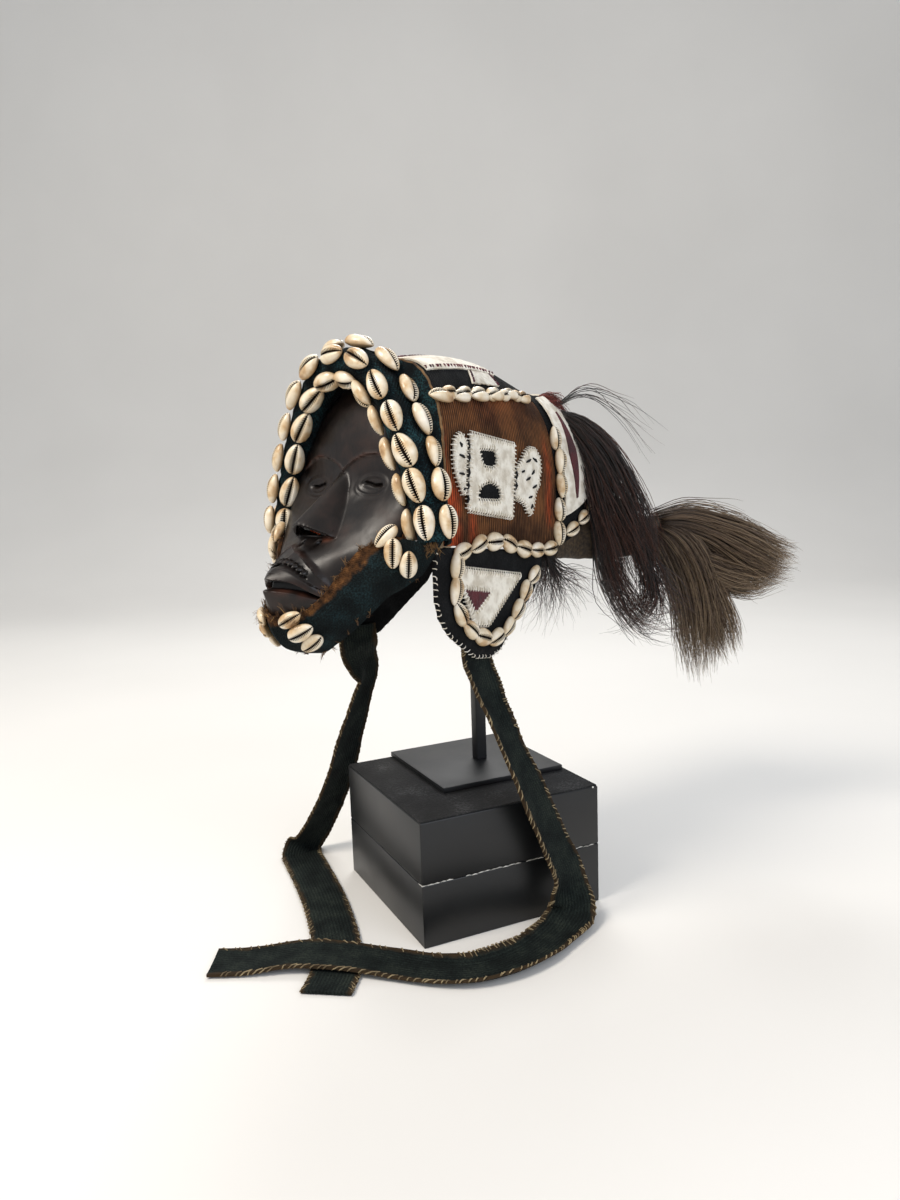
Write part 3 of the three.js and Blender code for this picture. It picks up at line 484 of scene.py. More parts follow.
def tube(name, place, columns, sides):
    """A closed body: place gives a point by the share along it and the share round it."""
    obj = panel(name, place, columns, sides)
    in_edit_mode(obj, merge_doubles)
    pick(obj)
    bpy.ops.object.mode_set(mode="EDIT")
    bpy.ops.mesh.select_all(action="DESELECT")
    bpy.ops.mesh.select_non_manifold(extend=False)
    bpy.ops.mesh.fill_holes(sides=0)
    bpy.ops.object.mode_set(mode="OBJECT")
    in_edit_mode(obj, turn_outwards)
    return obj


def copy_of(obj, name, matrix):
    copy = obj.copy()
    copy.data = obj.data.copy()
    copy.name = name
    copy.data.transform(matrix)
    if matrix.determinant() < 0:
        copy.data.flip_normals()
    bpy.context.collection.objects.link(copy)
    return copy


def joined(name, objects):
    """Several pieces made one."""
    pick(*objects)
    if len(objects) > 1:
        bpy.ops.object.join()
    return name_new(name)


ACROSS = Matrix.Translation((2 * CENTRE_X * MM, 0, 0)) @ Matrix.Scale(-1, 4, (1, 0, 0))


def mirrored(obj, name):
    """The same piece on the mask's other side."""
    return copy_of(obj, name, ACROSS)


def smooth(obj, degrees=None):
    pick(obj)
    if degrees is None:
        bpy.ops.object.shade_smooth()
    else:
        bpy.ops.object.shade_smooth_by_angle(angle=math.radians(degrees))


def dress(obj, material, slot, *nodes):
    """Give a piece its material, and let it stand for CAD nodes."""
    obj.data.materials.clear()
    obj.data.materials.append(material)
    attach(obj, "root")
    if nodes:
        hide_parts(*nodes)
    return obj


def threads(name, lines, radius, ends=1.0):
    """Round threads along lines of points, each a little thinner at its ends."""
    data = bpy.data.curves.new(name, "CURVE")
    data.dimensions = "3D"
    data.bevel_depth = radius * MM
    data.bevel_resolution = 1
    data.use_fill_caps = True
    for line in lines:
        spline = data.splines.new("POLY")
        spline.points.add(len(line) - 1)
        for index, (knot, point) in enumerate(zip(spline.points, line)):
            knot.co = (*(Vector(point) * MM), 1)
            knot.radius = ends if index in (0, len(line) - 1) else 1.0
    pick(new_object(name, data))
    bpy.ops.object.convert(target="MESH")
    obj = name_new(name)
    smooth(obj)
    return obj


# Materials

def linear(code):
    """An sRGB hex colour as linear light."""
    parts = [int(code[i:i + 2], 16) / 255 for i in (1, 3, 5)]
    return (*[p / 12.92 if p <= 0.04045 else ((p + 0.055) / 1.055) ** 2.4 for p in parts], 1)


def set_inputs(tree, node, inputs):
    """Fill a node's inputs from numbers, hex colours, sockets, or other nodes by their first open output."""
    for socket, value in inputs.items():
        if isinstance(value, bpy.types.Node):
            value = next(output for output in value.outputs if output.enabled)
        if isinstance(value, bpy.types.NodeSocket):
            tree.links.new(value, node.inputs[socket])
        else:
            node.inputs[socket].default_value = linear(value) if isinstance(value, str) else value


def add_node(tree, kind, inputs=None, stops=None, **settings):
    """A shader node with its settings, its inputs and a ramp's colours."""
    made = tree.nodes.new(f"ShaderNode{kind}")
    for key, value in settings.items():
        setattr(made, key, value)
    set_inputs(tree, made, inputs or {})
    if stops:
        ramp = made.color_ramp
        while len(ramp.elements) < len(stops):
            ramp.elements.new(0.5)
        for element, (place, code) in zip(ramp.elements, stops):
            element.position = place
            element.color = linear(code)
    return made


# Settings of a node that mixes two colours: one laid over the other, and the two multiplied
BLEND = {"data_type": "RGBA"}
TINT = {"data_type": "RGBA", "blend_type": "MULTIPLY"}


def start_material(name, roughness, ior=1.5):
    """A material, its nodes, its shader, and the places to read a texture at."""
    made = bpy.data.materials.new(name)
    made.use_nodes = True
    tree = made.node_tree
    shader = tree.nodes["Principled BSDF"]
    set_inputs(tree, shader, {"Roughness": roughness, "IOR": ior})
    return made, tree, shader, add_node(tree, "TexCoord").outputs


def per_mm(size):
    """A texture scale that repeats every so many millimetres of Object coordinates."""
    return 1 / (size * MM)


def carved_wood():
    """Close-grained hardwood, carved, dyed and rubbed: near black with a soft shine, browner where worn (on
    the muzzle ridge partly a painted highlight), and with painted near-black shade where no light gets in.
    """
    made, tree, shader, where = start_material("carved rubbed hardwood", 0.45)
    upright = add_node(tree, "Mapping", {"Vector": where["Object"], "Scale": (1, 1, 0.06)})
    rough = {"Detail": 5, "Roughness": 0.6}
    grain = add_node(tree, "TexNoise", {"Vector": upright, "Scale": per_mm(2.2), **rough})
    patches = add_node(tree, "TexNoise", {"Vector": where["Object"], "Scale": per_mm(26), **rough})
    base = add_node(tree, "ValToRGB", {"Fac": patches},
                    [(0.34, "#100b09"), (0.52, "#19110e"), (0.7, "#291a15")])
    streaks = add_node(tree, "ValToRGB", {"Fac": grain}, [(0.35, "#9a9a9a"), (0.65, "#ffffff")])
    grained = add_node(tree, "Mix", {"Factor": 0.5, "A": base, "B": streaks}, **TINT)
    # worn: rubbed wear, and along the muzzle ridge partly a painted highlight
    worn = add_node(tree, "Attribute", attribute_name="worn").outputs["Fac"]
    brown = add_node(tree, "Mix", {"Factor": worn, "A": grained, "B": "#5c3526"}, **BLEND)
    # painted shade: where no light gets in, the colour is mixed to near black
    painted_shade = add_node(tree, "Attribute", attribute_name="painted_shade").outputs["Fac"]
    shaded = add_node(tree, "Mix", {"Factor": painted_shade, "A": brown, "B": "#030202"}, **BLEND)
    dull = add_node(tree, "MapRange", {"Value": patches, "From Min": 0.3, "From Max": 0.7,
                                       "To Min": 0.3, "To Max": 0.5})
    carved = add_node(tree, "Bump", {"Height": grain, "Distance": 0.2 * MM, "Strength": 0.3})
    set_inputs(tree, shader, {"Base Color": shaded, "Roughness": dull, "Normal": carved,
                              "Specular IOR Level": 0.36})
    return made


def cowrie_shell():
    """Glossy cowrie: cream lips, a toothed slit down the middle painted near black as the shade inside the
    shell, and tan stains, read from its UV map.
    """
    made, tree, shader, where = start_material("polished cowrie shell", 0.24, ior=1.53)
    parts = add_node(tree, "SeparateXYZ", {"Vector": where["UV"]}).outputs
    from_slit = add_node(tree, "Math", {0: parts["X"], 1: 0.5}, operation="SUBTRACT")
    away = add_node(tree, "Math", {0: from_slit}, operation="ABSOLUTE")
    wave = add_node(tree, "Math", {0: parts["Y"], 1: 94.0}, operation="MULTIPLY")
    tooth = add_node(tree, "Math", {0: wave}, operation="SINE")
    reach = add_node(tree, "MapRange", {"Value": tooth, "From Min": -0.2, "From Max": 0.5,
                                        "To Min": 0.018, "To Max": 0.055})
    inside = add_node(tree, "Math", {0: reach, 1: away}, operation="SUBTRACT")
    slit = add_node(tree, "MapRange", {"Value": inside, "From Min": -0.004, "From Max": 0.004,
                                       "To Min": 0.0, "To Max": 1.0})
    stain = add_node(tree, "TexNoise", {"Vector": where["Object"], "Scale": per_mm(12), "Detail": 3})
    body = add_node(tree, "ValToRGB", {"Fac": stain},
                    [(0.3, "#eee5d4"), (0.5, "#dccbad"), (0.62, "#c4a57c"), (0.76, "#8f6a45")])
    rim = add_node(tree, "MapRange", {"Value": away, "From Min": 0.17, "From Max": 0.28,
                                      "To Min": 0.0, "To Max": 0.85})
    edged = add_node(tree, "Mix", {"Factor": rim, "A": body, "B": "#a08460"}, **BLEND)
    # painted shade: the slit, the shell's opening, is painted near black, rough and with little reflection
    coloured = add_node(tree, "Mix", {"Factor": slit, "A": edged, "B": "#0f0906"}, **BLEND)
    low = add_node(tree, "Math", {0: 1.0, 1: slit}, operation="SUBTRACT")
    set_inputs(tree, shader, {
        "Base Color": coloured,
        "Roughness": add_node(tree, "MapRange", {"Value": slit, "To Min": 0.26, "To Max": 0.95}),
        "Specular IOR Level": add_node(tree, "MapRange", {"Value": slit, "To Min": 0.5, "To Max": 0.05}),
        "Normal": add_node(tree, "Bump", {"Height": low, "Distance": 0.6 * MM, "Strength": 0.8}),
    })
    return made


def woven(name, dark, light, pitch_mm, size_mm, stain, ribs=0.0):
    """Matt handwoven cloth: threads at a pitch each way on a panel of a size, ribbed lengthwise by ribs."""
    made, tree, shader, where = start_material(name, 0.95)
    turns = [math.pi * side / pitch for side, pitch in zip(size_mm, pitch_mm)]
    place = add_node(tree, "Mapping", {"Vector": where["UV"], "Scale": (*turns, 1)})
    parts = add_node(tree, "SeparateXYZ", {"Vector": place}).outputs
    waves = [add_node(tree, "Math", {0: parts[axis]}, operation="SINE") for axis in ("X", "Y")]
    crossed = add_node(tree, "Math", {0: waves[0], 1: waves[1]}, operation="MULTIPLY")
    plain = add_node(tree, "Math", {0: crossed, 1: 1 - ribs}, operation="MULTIPLY")
    weave = add_node(tree, "Math", {0: waves[1], 1: ribs, 2: plain}, operation="MULTIPLY_ADD")
    fuzz = add_node(tree, "TexNoise", {"Vector": where["Object"], "Scale": per_mm(1.1), "Detail": 4})
    height = add_node(tree, "Math", {0: fuzz, 1: weave}, operation="ADD")
    faded = add_node(tree, "TexNoise", {"Vector": where["Object"], "Scale": per_mm(15), "Detail": 5})
    both = add_node(tree, "Math", {0: faded, 1: fuzz}, operation="MULTIPLY")
    colour = add_node(tree, "ValToRGB", {"Fac": both}, [(0.14, dark), (0.26, light), (0.38, stain)])
    shadow = add_node(tree, "MapRange", {"Value": weave, "From Min": -1, "From Max": 1,
                                         "To Min": 0.5, "To Max": 1.0})
    toned = add_node(tree, "Mix", {"Factor": 1.0, "A": colour, "B": shadow}, **TINT)
    raised = add_node(tree, "Bump", {"Height": height, "Distance": 0.35 * MM, "Strength": 0.8})
    set_inputs(tree, shader, {"Base Color": toned, "Normal": raised, "Specular IOR Level": 0.15})
    return made, tree, shader, where, toned


def jaw_weave():
    """The jaw's indigo cloth, browned and frayed along its hem."""
    made, tree, shader, where, toned = woven("indigo jaw cloth", "#0a0f10", "#131c1d", (1.5, 1.5), (330, 62),
                                             "#1f3033", 0.3)
    across = add_node(tree, "SeparateXYZ", {"Vector": where["UV"]}).outputs["Y"]
    frayed = add_node(tree, "TexNoise", {"Vector": where["Object"], "Scale": per_mm(5), "Detail": 4})
    edge = add_node(tree, "Math", {0: frayed, 1: -0.12, 2: across}, operation="MULTIPLY_ADD")
    hem = add_node(tree, "MapRange", {"Value": edge, "From Min": 0.06, "From Max": 0.12,
                                      "To Min": 1.0, "To Max": 0.0})
    tan = add_node(tree, "ValToRGB", {"Fac": frayed},
                   [(0.35, "#26180d"), (0.55, "#4a301a"), (0.75, "#6e4a28")])
    browned = add_node(tree, "Mix", {"Factor": hem, "A": toned, "B": tan}, **BLEND)
    set_inputs(tree, shader, {"Base Color": browned})
    return made


def strap_weave():
    """The straps' narrow woven strip, strongly ribbed and browned along its edges."""
    made, tree, shader, where, toned = woven("narrow woven strip", "#0f1413", "#1c2321", (1.6, 1.2),
                                             (500, STRAP_WIDTH), "#2d332d", 0.7)
    across = add_node(tree, "SeparateXYZ", {"Vector": where["UV"]}).outputs["Y"]
    middle = add_node(tree, "Math", {0: across, 1: 0.5}, operation="SUBTRACT")
    away = add_node(tree, "Math", {0: middle}, operation="ABSOLUTE")
    worn = add_node(tree, "TexNoise", {"Vector": where["Object"], "Scale": per_mm(8), "Detail": 4})
    reach = add_node(tree, "Math", {0: worn, 1: 0.22, 2: away}, operation="MULTIPLY_ADD")
    edge = add_node(tree, "MapRange", {"Value": reach, "From Min": 0.5, "From Max": 0.58})
    browned = add_node(tree, "Mix", {"Factor": edge, "A": toned, "B": "#33281b"}, **BLEND)
    set_inputs(tree, shader, {"Base Color": browned})
    return made


def felt(name, clean, soiled):
    """Pressed wool felt, hand cut: matt, with short fibres and grey dirt in patches."""
    made, tree, shader, where = start_material(name, 0.97)
    dirt = add_node(tree, "TexNoise", {"Vector": where["Object"], "Scale": per_mm(9), "Detail": 6})
    fibre = add_node(tree, "TexNoise", {"Vector": where["Object"], "Scale": per_mm(0.9), "Detail": 5})
    colour = add_node(tree, "ValToRGB", {"Fac": dirt}, [(0.36, soiled), (0.58, clean), (0.9, clean)])
    raised = add_node(tree, "Bump", {"Height": fibre, "Distance": 0.5 * MM, "Strength": 0.8})
    set_inputs(tree, shader, {"Base Color": colour, "Normal": raised, "Sheen Weight": 0.12})
    return made


def ribbed_cloth():
    """Brown handwoven cloth with fine upright ribs, painted shade in the grooves between them, and orange-red
    dye left at its worn ends.
    """
    made, tree, shader, where = start_material("brown ribbed handwoven cloth", 0.95)
    back = add_node(tree, "SeparateXYZ", {"Vector": where["UV"]}).outputs["X"]
    sway = add_node(tree, "TexNoise", {"Vector": where["Object"], "Scale": per_mm(24), "Detail": 1})
    shifted = add_node(tree, "Math", {0: sway, 1: RIB_SWAY / HOOD_LENGTH, 2: back}, operation="MULTIPLY_ADD")
    radians = 2 * math.pi * HOOD_LENGTH / RIB_PITCH
    turns = add_node(tree, "Math", {0: shifted, 1: radians}, operation="MULTIPLY")
    rib = add_node(tree, "Math", {0: turns}, operation="SINE")
    stretched = add_node(tree, "Mapping", {"Vector": where["UV"], "Scale": (90, 14, 1)})
    streak = add_node(tree, "TexNoise", {"Vector": stretched, "Scale": 1.0, "Detail": 3})
    faded = add_node(tree, "TexNoise", {"Vector": where["Object"], "Scale": per_mm(30), "Detail": 4})
    both = add_node(tree, "Math", {0: streak, 1: 0.5, 2: faded}, operation="MULTIPLY_ADD")
    body = add_node(tree, "ValToRGB", {"Fac": both},
                    [(0.55, "#40291a"), (0.72, "#5f402a"), (0.84, "#7a5031"), (0.97, "#8e5c38")])
    # painted shade: the grooves between the ribs darkened, on the brown and on the orange dye alike
    rib_shade = add_node(tree, "MapRange", {"Value": rib, "From Min": -1, "From Max": 0.5,
                                         "To Min": 0.22, "To Max": 1.0})
    ribs = add_node(tree, "Mix", {"Factor": 1.0, "A": body, "B": rib_shade}, **TINT)
    worn = add_node(tree, "Attribute", attribute_name="worn").outputs["Fac"]
    patchy = add_node(tree, "MapRange", {"Value": streak, "From Min": 0.36, "From Max": 0.6,
                                         "To Min": 0.25, "To Max": 1.0})
    orange = add_node(tree, "Math", {0: worn, 1: patchy}, operation="MULTIPLY")
    dye = add_node(tree, "Mix", {"Factor": 0.7, "A": "#d2542c", "B": rib_shade}, **TINT)
    coloured = add_node(tree, "Mix", {"Factor": orange, "A": ribs, "B": dye}, **BLEND)
    height = add_node(tree, "Math", {0: streak, 1: rib}, operation="ADD")
    raised = add_node(tree, "Bump", {"Height": height, "Distance": 0.5 * MM, "Strength": 1.0})
    set_inputs(tree, shader, {"Base Color": coloured, "Normal": raised, "Specular IOR Level": 0.15})
    return made


def thread(name, code, stain):
    """Spun cotton thread: matt and slightly soiled."""
    made, tree, shader, where = start_material(name, 0.9)
    dirt = add_node(tree, "TexNoise", {"Vector": where["Object"], "Scale": per_mm(7), "Detail": 4})
    colour = add_node(tree, "ValToRGB", {"Fac": dirt}, [(0.4, stain), (0.62, code)])
    spun = add_node(tree, "Bump", {"Height": dirt, "Distance": 0.2 * MM, "Strength": 0.5})
    set_inputs(tree, shader, {"Base Color": colour, "Normal": spun})
    return made


def animal_hair(name, root, middle, tip, roughness=0.45):
    """Long animal hair: each strand its own shade, lighter and browner towards its tip, with a soft shine."""
    made, tree, shader, where = start_material(name, roughness, ior=1.55)
    shade = add_node(tree, "Attribute", attribute_name="shade").outputs["Fac"]
    colour = add_node(tree, "ValToRGB", {"Fac": shade}, [(0.1, root), (0.55, middle), (0.95, tip)])
    streak = add_node(tree, "TexNoise", {"Vector": where["Object"], "Scale": per_mm(6), "Detail": 3})
    dull = add_node(tree, "MapRange", {"Value": streak, "To Min": roughness - 0.1,
                                       "To Max": roughness + 0.15})
    set_inputs(tree, shader, {"Base Color": colour, "Roughness": dull})
    return made


def dried_hide():
    """Stiff brown hide with the hair worn short: matt, streaked along its length."""
    made, tree, shader, where = start_material("dried hide", 0.75)
    turned = add_node(tree, "Mapping", {"Vector": where["Object"], "Rotation": (0, 0, math.radians(-47)),
                                        "Scale": (0.12, 1, 1)})
    streak = add_node(tree, "TexNoise", {"Vector": turned, "Scale": per_mm(2.5), "Detail": 6})
    colour = add_node(tree, "ValToRGB", {"Fac": streak},
                      [(0.35, "#21180e"), (0.55, "#3d3020"), (0.75, "#54432c")])
    raised = add_node(tree, "Bump", {"Height": streak, "Distance": 0.8 * MM, "Strength": 0.8})
    set_inputs(tree, shader, {"Base Color": colour, "Normal": raised})
    return made


def black_paint(name, cloud_mm, detail, stops, shiniest, dullest):
    """Black paint with faint cloudy handling marks, which dull it in places."""
    made, tree, shader, where = start_material(name, dullest)
    place = {"Vector": where["Object"], "Scale": per_mm(cloud_mm)}
    marks = add_node(tree, "TexNoise", {**place, "Detail": detail})
    tone = add_node(tree, "ValToRGB", {"Fac": marks}, stops)
    dull = add_node(tree, "MapRange", {"Value": marks, "To Min": shiniest, "To Max": dullest})
    set_inputs(tree, shader, {"Base Color": tone, "Roughness": dull})
    return made


def gritty_top():
    """The sheet on the base's top: black felt gone gritty and grey with wear."""
    made, tree, shader, where = start_material("worn black felt sheet", 0.95)
    grit = add_node(tree, "TexNoise", {"Vector": where["Object"], "Scale": per_mm(1.6), "Detail": 7})
    patch = add_node(tree, "TexNoise", {"Vector": where["Object"], "Scale": per_mm(22), "Detail": 4})
    both = add_node(tree, "Math", {0: grit, 1: patch}, operation="MULTIPLY")
    colour = add_node(tree, "ValToRGB", {"Fac": both},
                      [(0.16, "#0c0c0d"), (0.3, "#1a1a1b"), (0.45, "#3b3b3c")])
    raised = add_node(tree, "Bump", {"Height": grit, "Distance": 0.7 * MM, "Strength": 0.9})
    set_inputs(tree, shader, {"Base Color": colour, "Normal": raised})
    return made


# The stand

def paint(obj, name, rule):
    """A share from 0 to 1 at each point of a piece, by a rule that reads the point in millimetres."""
    layer = obj.data.attributes.new(name, "FLOAT", "POINT")
    layer.data.foreach_set("value", [clamp(rule(vertex.co / MM)) for vertex in obj.data.vertices])


def box(name, sides, centre, edge):
    """A box with softened edges, turned as the base stands."""
    obj = primitive(name, bpy.ops.mesh.primitive_cube_add, size=1)
    obj.data.transform(Matrix.Diagonal((*[side * MM for side in sides], 1)))
    in_edit_mode(obj, lambda: bpy.ops.mesh.bevel(offset=edge * MM, segments=3, affect="EDGES"))
    obj.data.transform(Matrix.Rotation(math.radians(BASE_TURN), 4, "Z"))
    obj.data.transform(Matrix.Translation(Vector(centre) * MM))
    smooth(obj, 40)
    return obj


def base_point(along, across, z):
    """A point by the base's own directions: along its right side's face, and across to it."""
    turn = math.radians(BASE_TURN)
    x = along * math.cos(turn) - across * math.sin(turn)
    return Vector((x, along * math.sin(turn) + across * math.cos(turn), z))


def stand():
    """Two painted blocks with chipped filler in their joint, a felt top sheet, a steel plate and the rod."""
    satin_tones, matt_tones = [(0.35, "#08090b"), (0.7, "#0e1012")], [(0.35, "#0b0b0d"), (0.75, "#191a1c")]
    satin = black_paint("satin black paint on wood", 40, 4, satin_tones, 0.3, 0.46)
    steel = black_paint("matt black painted steel", 30, 5, matt_tones, 0.38, 0.62)
    filler = thread("white wood filler", "#d9d8d2", "#8d8b85")
    half = BASE_SIDE / 2
    plate_top = PLATE_LOW + PLATE_THICK
    upper_z = BASE_TOP - 0.5 - BLOCK_HEIGHT / 2
    lower = box("base_block_low", (BASE_SIDE, BASE_SIDE, BLOCK_HEIGHT), (0, 0, BLOCK_HEIGHT / 2), 0.9)
    dress(lower, satin, "base_paint", "base_block_lower")
    upper = box("base_block_high", (BASE_SIDE, BASE_SIDE, BLOCK_HEIGHT - 1), (0, 0, upper_z), 0.9)
    dress(upper, satin, "base_paint", "base_block_upper")
    top = box("base_top_sheet", (BASE_SIDE - 1.4, BASE_SIDE - 1.4, 1.4), (0, 0, BASE_TOP - 0.7), 0.5)
    dress(top, gritty_top(), "base_paint")
    rng = random.Random(11)
    chips = []
    for start in range(-70, 70, 5):
        if rng.random() < 0.86:
            height = BLOCK_HEIGHT + rng.uniform(-0.3, 0.4)
            chips.append([
                base_point(half + 0.05, start, height),
                base_point(half + 0.15, start + 2.5, height + 0.3),
                base_point(half + 0.05, start + rng.uniform(4.4, 5.6), height + rng.uniform(-0.3, 0.4)),
            ])
    chips.append([
        base_point(half - 6, -half - 0.1, BLOCK_HEIGHT),
        base_point(half, -half, BLOCK_HEIGHT + 0.3),
        base_point(half + 0.1, -half + 5, BLOCK_HEIGHT + 0.4),
    ])
    dress(threads("joint_filler", chips, 0.42, 0.35), filler, "base_paint")
    corner = [base_point(half - 0.4, half - 5, BASE_TOP - 1.2), base_point(half, half - 4, BASE_TOP - 1.6)]
    dress(threads("corner_chip", [corner], 0.9, 0.8), filler, "base_paint")
    plate = box("plate", (PLATE_SIDE, PLATE_SIDE, PLATE_THICK), (*PLATE_AT, PLATE_LOW + PLATE_THICK / 2), 0.5)
    dress(plate, steel, "stand_steel", "stand_plate")
    rod = box("rod", (ROD_SIDE, ROD_SIDE, ROD_TOP - plate_top), (*ROD_AT, (ROD_TOP + plate_top) / 2), 0.6)
    dress(rod, steel, "stand_steel", "stand_rod")


# Cowries

def cowrie():
    """One cowrie with its slit side up: humped lips that roll in to a narrow slit, and a flatter back."""
    obj = primitive("cowrie", bpy.ops.mesh.primitive_uv_sphere_add, segments=20, ring_count=12, radius=1)
    turns = {}
    for vertex in obj.data.vertices:
        up, across, along = vertex.co
        turn = math.atan2(across, up)
        turn = math.copysign(math.pi * (abs(turn) / math.pi) ** 1.4, turn)
        rest = max(1 - along * along, 0)
        up, across = rest ** 0.5 * math.cos(turn), rest ** 0.5 * math.sin(turn)
        turns[vertex.index] = (turn / (2 * math.pi) + 0.5, along / 2 + 0.5, rest)
        height = up * (COWRIE_FRONT if up > 0 else COWRIE_BACK) * (1 + 0.1 * along)
        height -= 2.2 * bump(turn, 0.17) * rest ** 0.4
        height += 0.7 * bump(abs(turn) - 0.62, 0.3) * rest
        width = across * COWRIE_HALF_WIDTH * (1 + 0.14 * along)
        vertex.co = Vector((along * COWRIE_HALF_LENGTH, width, height)) * MM
    layer = obj.data.uv_layers.active
    for face in obj.data.polygons:
        shares = [turns[index] for index in face.vertices]
        wraps = max(u for u, v, rest in shares) - min(u for u, v, rest in shares) > 0.5
        off_tip = [u for u, v, rest in shares if rest > AT_TIP]
        for loop, (u, v, rest) in zip(face.loop_indices, shares):
            if rest < AT_TIP:
                u = sum(off_tip) / max(len(off_tip), 1)
            layer.data[loop].uv = (u + 1 if wraps and u < 0.5 else u, v)
    in_edit_mode(obj, turn_outwards)
    smooth(obj)
    return obj


def sew_shells(name, places, pattern, material, node, size):
    """Cowries sewn on at places: each a point on the cloth, the way out, and the way its slit runs."""
    rng = random.Random(name)
    shells = []
    for index, (point, normal, along) in enumerate(places):
        scale = size * rng.uniform(0.93, 1.07)
        along = Matrix.Rotation(math.radians(rng.gauss(0, 7)), 3, normal) @ along
        normal = Matrix.Rotation(math.radians(rng.gauss(0, 4)), 3, along) @ normal
        along = (along - normal * along.dot(normal)).normalized() * rng.choice((1, 1, -1))
        across = normal.cross(along)
        width = scale * rng.uniform(0.94, 1.05)
        turned = Matrix((along * scale, across * width, normal * scale)).transposed()
        middle = point + normal * SHELL_LIFT * scale
        matrix = Matrix.Translation(middle * MM) @ turned.to_4x4()
        shells.append(copy_of(pattern, f"{name}_{index}", matrix))
    return dress(joined(name, shells), material, "cowrie_shell", node)


def in_a_row(place, count):
    """Places for shells end to end; place gives a point and the way out by the share along the row."""
    places = []
    for index in range(count):
        share = (index + 0.5) / count
        point, normal = place(share)
        along = place(min(share + 0.01, 1))[0] - place(max(share - 0.01, 0))[0]
        places.append((point, normal, (along - normal * along.dot(normal)).normalized()))
    return places


def singly(surface, spots):
    """Places for single shells: u and v, and the slit's turn in degrees from the way u runs."""
    places = []
    for u, v, degrees in spots:
        normal = surface_normal(surface, u, v)
        along = surface(min(u + 0.01, 1), v) - surface(max(u - 0.01, 0), v)
        along = (along - normal * along.dot(normal)).normalized()
        places.append((surface(u, v), normal, Matrix.Rotation(math.radians(degrees), 3, normal) @ along))
    return places


def on_surface(surface, start, end, side):
    """Places along a surface between two points of u and v; side says which way faces out."""
    def place(share):
        u, v = mix(start[0], end[0], share), mix(start[1], end[1], share)
        return surface(u, v), surface_normal(surface, u, v) * side
    return place


def on_line(points, normal):
    """Places along a line of points, all facing one way."""
    line = evenly(curve_through(points))[0]
    return lambda share: (line(share), normal.copy())


def tilted(degrees):
    """The side panel's direction outwards, tipped up."""
    angle = math.radians(degrees)
    return SIDE_NORMAL * math.cos(angle) + Vector((0, 0, math.sin(angle)))


def border_count(degrees):
    """How many shells fit on a row round the border."""
    place = on_border(degrees)
    points = [place(i / 60)[0] for i in range(61)]
    return round(sum((b - a).length for a, b in zip(points, points[1:])) / SHELL_PITCH)


def all_shells():
    """Three rows round the border, and the rows and single shells on the cloth, mirrored to the far side."""
    pattern, glaze = cowrie(), cowrie_shell()
    for name, degrees in (("inner", -42), ("middle", 27), ("outer", outer_degrees)):
        places = in_a_row(on_border(degrees), border_count(degrees))
        sew_shells(f"cowries_border_{name}", places, pattern, glaze, f"border_shells_{name}", 0.95)
    rows = {
        "cheek": (singly(jaw_surface, CHEEK_SPOTS), 0.82),
        "chin": (singly(jaw_surface, CHIN_SPOTS), 0.74),
        "top_seam": (in_a_row(on_line([off_side(a, z, 0) for a, z in TOP_SEAM_ROW], tilted(58)), 6), 0.82),
        "crown_edge": (in_a_row(on_surface(crown_surface, (0.012, 0.03), (0.012, 0.8), -1), 6), 0.68),
        "back_seam": (in_a_row(on_line([back_surface(*spot) for spot in BACK_SEAM_ROW], tilted(8)), 5), 0.84),
        "hem": (in_a_row(on_line([off_flap(a, z, 0) for a, z in HEM_ROW], SIDE_NORMAL), 7), 0.82),
        "flap": (in_a_row(on_line([off_flap(a, z, 0) for a, z in FLAP_ROW], SIDE_NORMAL), 10), 0.8),
    }
    for name, (places, size) in rows.items():
        left = sew_shells(f"cowries_{name}_left", places, pattern, glaze, f"{name}_shells_left", size)
        dress(mirrored(left, f"cowries_{name}_right"), glaze, "cowrie_shell", f"{name}_shells_right")
    nape = in_a_row(on_surface(back_surface, (0.03, 0.05), (0.97, 0.05), 1), 15)
    sew_shells("cowries_nape", nape, pattern, glaze, "nape_shells", 0.78)
    bpy.data.objects.remove(pattern)


# The border

def hood_front_edge(share):
    """The hood's front edge, from its near lower corner over the top to the far one."""
    upright = 0.24
    if share < upright:
        return side_surface(0, share / upright)
    if share > 1 - upright:
        point = side_surface(0, (1 - share) / upright)
        return Vector((2 * CENTRE_X - point.x, point.y, point.z))
    return crown_surface((share - upright) / (1 - 2 * upright), 0)


